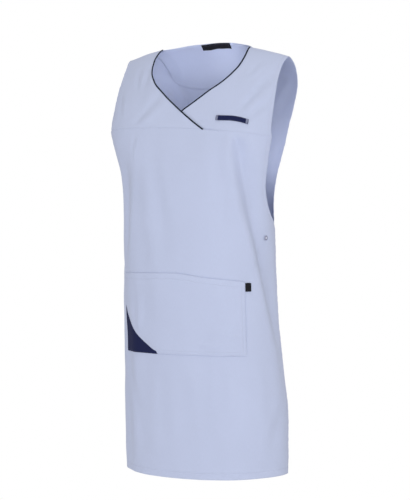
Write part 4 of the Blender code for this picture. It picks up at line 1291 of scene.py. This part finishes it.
def make_piping(node_name, points):
    """The binding along a front's neck edge, a soft oval strip."""
    normals = grid_normals(points)[:, 0]
    aways = unit(points[:, 0] - points[:, 2])
    centres = points[:, 0] + aways * (PIPING_WIDTH / 2 + SEAM)
    if node_name == "piping_left":
        kept = points[:, 0, 2] > PIPING_END
        centres, aways, normals = (values[kept] for values in (centres, aways, normals))
    along = unit(np.gradient(centres, axis=0))
    aside = unit(aways - along * np.sum(aways * along, axis=1, keepdims=True))
    up = np.cross(along, aside)
    up = up * np.sign(np.sum(up * normals, axis=1, keepdims=True))
    lengths = path_lengths(centres)
    vertices = []
    places = []
    for k in range(PIPING_SIDES):
        angle = 2 * pi * k / PIPING_SIDES
        vertices.append(centres + aside * cos(angle) * PIPING_WIDTH / 2 + up * sin(angle) * PIPING_DEPTH / 2)
        round_place = np.full(len(lengths), k / PIPING_SIDES * PIPING_GIRTH)
        places.append(np.stack([round_place, lengths], axis=-1))
    vertices = np.stack(vertices, axis=1).reshape(-1, 3)
    faces = ring_faces(len(centres), PIPING_SIDES)
    faces.append(list(range(PIPING_SIDES))[::-1])
    faces.append(list(range(len(vertices) - PIPING_SIDES, len(vertices))))
    piece = new_object(node_name + BINDING[2], vertices, faces, BINDING, [node_name])
    add_places(piece, "cloth", np.stack(places, axis=1).reshape(-1, 2))
    return piece


def make_stud(node_name, girth, seat, outward):
    """A press stud's moulded cap: a rounded ring round a shallow dish."""
    step = STUD_PATCH
    spots = np.array([[girth - step, girth + step]] * 2)
    heights = np.array([[STUD_HEIGHT + step] * 2, [STUD_HEIGHT - step] * 2])
    patch = rings.points(spots, heights)
    normal = Vector(grid_normals(patch).mean(axis=(0, 1))).normalized()
    facing = normal * outward
    aside = facing.cross(Vector((0, 0, 1))).normalized()
    up = facing.cross(aside).normalized()
    rise = float(ring_rise(np.array(girth), np.array(STUD_HEIGHT)))
    base = Vector(patch.mean(axis=(0, 1))) + normal * (seat + rise)
    vertices = []
    for radius_share, rise_share in STUD_PROFILE:
        for k in range(STUD_SIDES):
            angle = 2 * pi * k / STUD_SIDES
            spread_out = (aside * cos(angle) + up * sin(angle)) * radius_share * STUD_RADIUS
            vertices.append(list(base + spread_out + facing * rise_share * STUD_RISE))
    faces = [list(range(STUD_SIDES))] + ring_faces(len(STUD_PROFILE), STUD_SIDES)
    piece = new_object(node_name + STUD_PLASTIC[2], np.array(vertices), faces, STUD_PLASTIC, [node_name])
    shares = np.repeat([radius_share for radius_share, _ in STUD_PROFILE], STUD_SIDES)
    shares[:STUD_SIDES] = 1.0
    add_places(piece, "round", np.stack([shares, shares], axis=-1))
    return piece


def build_tunic():
    right, right_points = make_yoke(-1, "front_yoke_right")
    left, left_points = make_yoke(1, "front_yoke_left")
    piping_right = make_piping("piping_right", right_points)
    piping_left = make_piping("piping_left", left_points)
    front = make_front_panel()
    back = make_back_panel()
    facing = make_facing()
    label = make_label()
    pocket = make_pocket()
    inset = make_inset()
    tab = make_tab()
    welt = make_welt()
    # painted shade in the studs' grooves and at their rims
    paint_stud_shade(STUD_PLASTIC[0])
    for side, word in ((-1, "right"), (1, "left")):
        make_stud("stud_" + word, side * STUD_GIRTH, CLOTH / 2 + STUD_GAP, 1)
        make_stud("stud_back_" + word, side * STUD_GIRTH, -BACK_TUCK - CLOTH / 2 - LAYER, -1)
    threads = make_stitches()


def place_in_scene(name, data, place):
    thing = bpy.data.objects.new(name, data)
    bpy.context.scene.collection.objects.link(thing)
    thing.location = place
    return thing


def turn_to(thing, aim):
    """Points the camera or a light at a place."""
    thing.rotation_euler = (Vector(aim) - thing.location).to_track_quat("-Z", "Y").to_euler()


def make_camera():
    data = bpy.data.cameras.new("camera")
    data.sensor_width = SENSOR
    data.lens = FOCAL_PIXELS / LONG_SIDE_PIXELS * SENSOR
    angle = radians(AZIMUTH)
    place = (DISTANCE * sin(angle), -DISTANCE * cos(angle), CAMERA_HEIGHT)
    camera = place_in_scene("camera", data, place)
    turn_to(camera, AIM)
    bpy.context.scene.camera = camera


def new_light(name, kind, power, place, colour):
    data = bpy.data.lights.new(name, kind)
    data.energy = power
    data.color = colour
    return place_in_scene(name, data, place)


def make_inside_light(name, kind, power, place, colour):
    """A small lamp inside the tunic, which the camera doesn't see."""
    light = new_light(name, kind, power, place, colour)
    light.data.shadow_soft_size = INSIDE_SIZE
    light.visible_camera = False
    return light


def make_lights():
    for name, azimuth, elevation, power, colour in LIGHTS:
        turn = radians(azimuth)
        rise = radians(elevation)
        way = Vector((sin(turn) * cos(rise), -cos(turn) * cos(rise), sin(rise)))
        light = new_light(name, "AREA", power, LIGHT_AIM + way * LIGHT_DISTANCE, colour)
        light.data.shape = "SQUARE"
        light.data.size = LIGHT_SIZE
        turn_to(light, LIGHT_AIM)
    for name, place, power in INSIDE_LIGHTS:
        make_inside_light(name, "POINT", power, place, INSIDE_COLOUR)
    for name, place, aim, power, cone in INSIDE_SPOTS:
        light = make_inside_light(name, "SPOT", power, place, WHITE[:3])
        light.data.spot_size = radians(cone)
        light.data.spot_blend = 1.0
        turn_to(light, aim)


def seen_by_camera(tree, lighting, kind, output):
    """The camera sees plain white where the light comes from the given shader."""
    seen = node(tree, kind, {"Color": WHITE, "Strength": 1.0})
    path = tree.nodes.new("ShaderNodeLightPath").outputs["Is Camera Ray"]
    feed(tree, output, {0: node(tree, "ShaderNodeMixShader", {0: path, 1: lighting, 2: seen})})


def make_floor():
    bpy.ops.mesh.primitive_circle_add(vertices=FLOOR_SIDES, radius=FLOOR_RADIUS, fill_type="NGON",
                                      location=(0, 0, FLOOR_HEIGHT))
    floor = bpy.context.object
    floor.name = "floor"
    material, tree = new_material("pale_floor", {"Base Color": FLOOR_COLOUR, "Roughness": FLOOR_ROUGHNESS,
                                                 "Emission Color": WHITE, "Emission Strength": FLOOR_GLOW})
    lighting = tree.nodes["Principled BSDF"].outputs[0]
    seen_by_camera(tree, lighting, "ShaderNodeEmission", tree.nodes["Material Output"])
    floor.data.materials.append(material)


def make_surroundings():
    world = bpy.data.worlds.new("studio")
    bpy.context.scene.world = world
    world.use_nodes = True
    tree = world.node_tree
    background = tree.nodes["Background"]
    feed(tree, background, {"Color": SKY_COLOUR, "Strength": SKY})
    seen_by_camera(tree, background.outputs[0], "ShaderNodeBackground", tree.nodes["World Output"])
    bpy.context.scene.view_settings.view_transform = "Standard"


build_tunic()
make_camera()
make_floor()
make_lights()
make_surroundings()
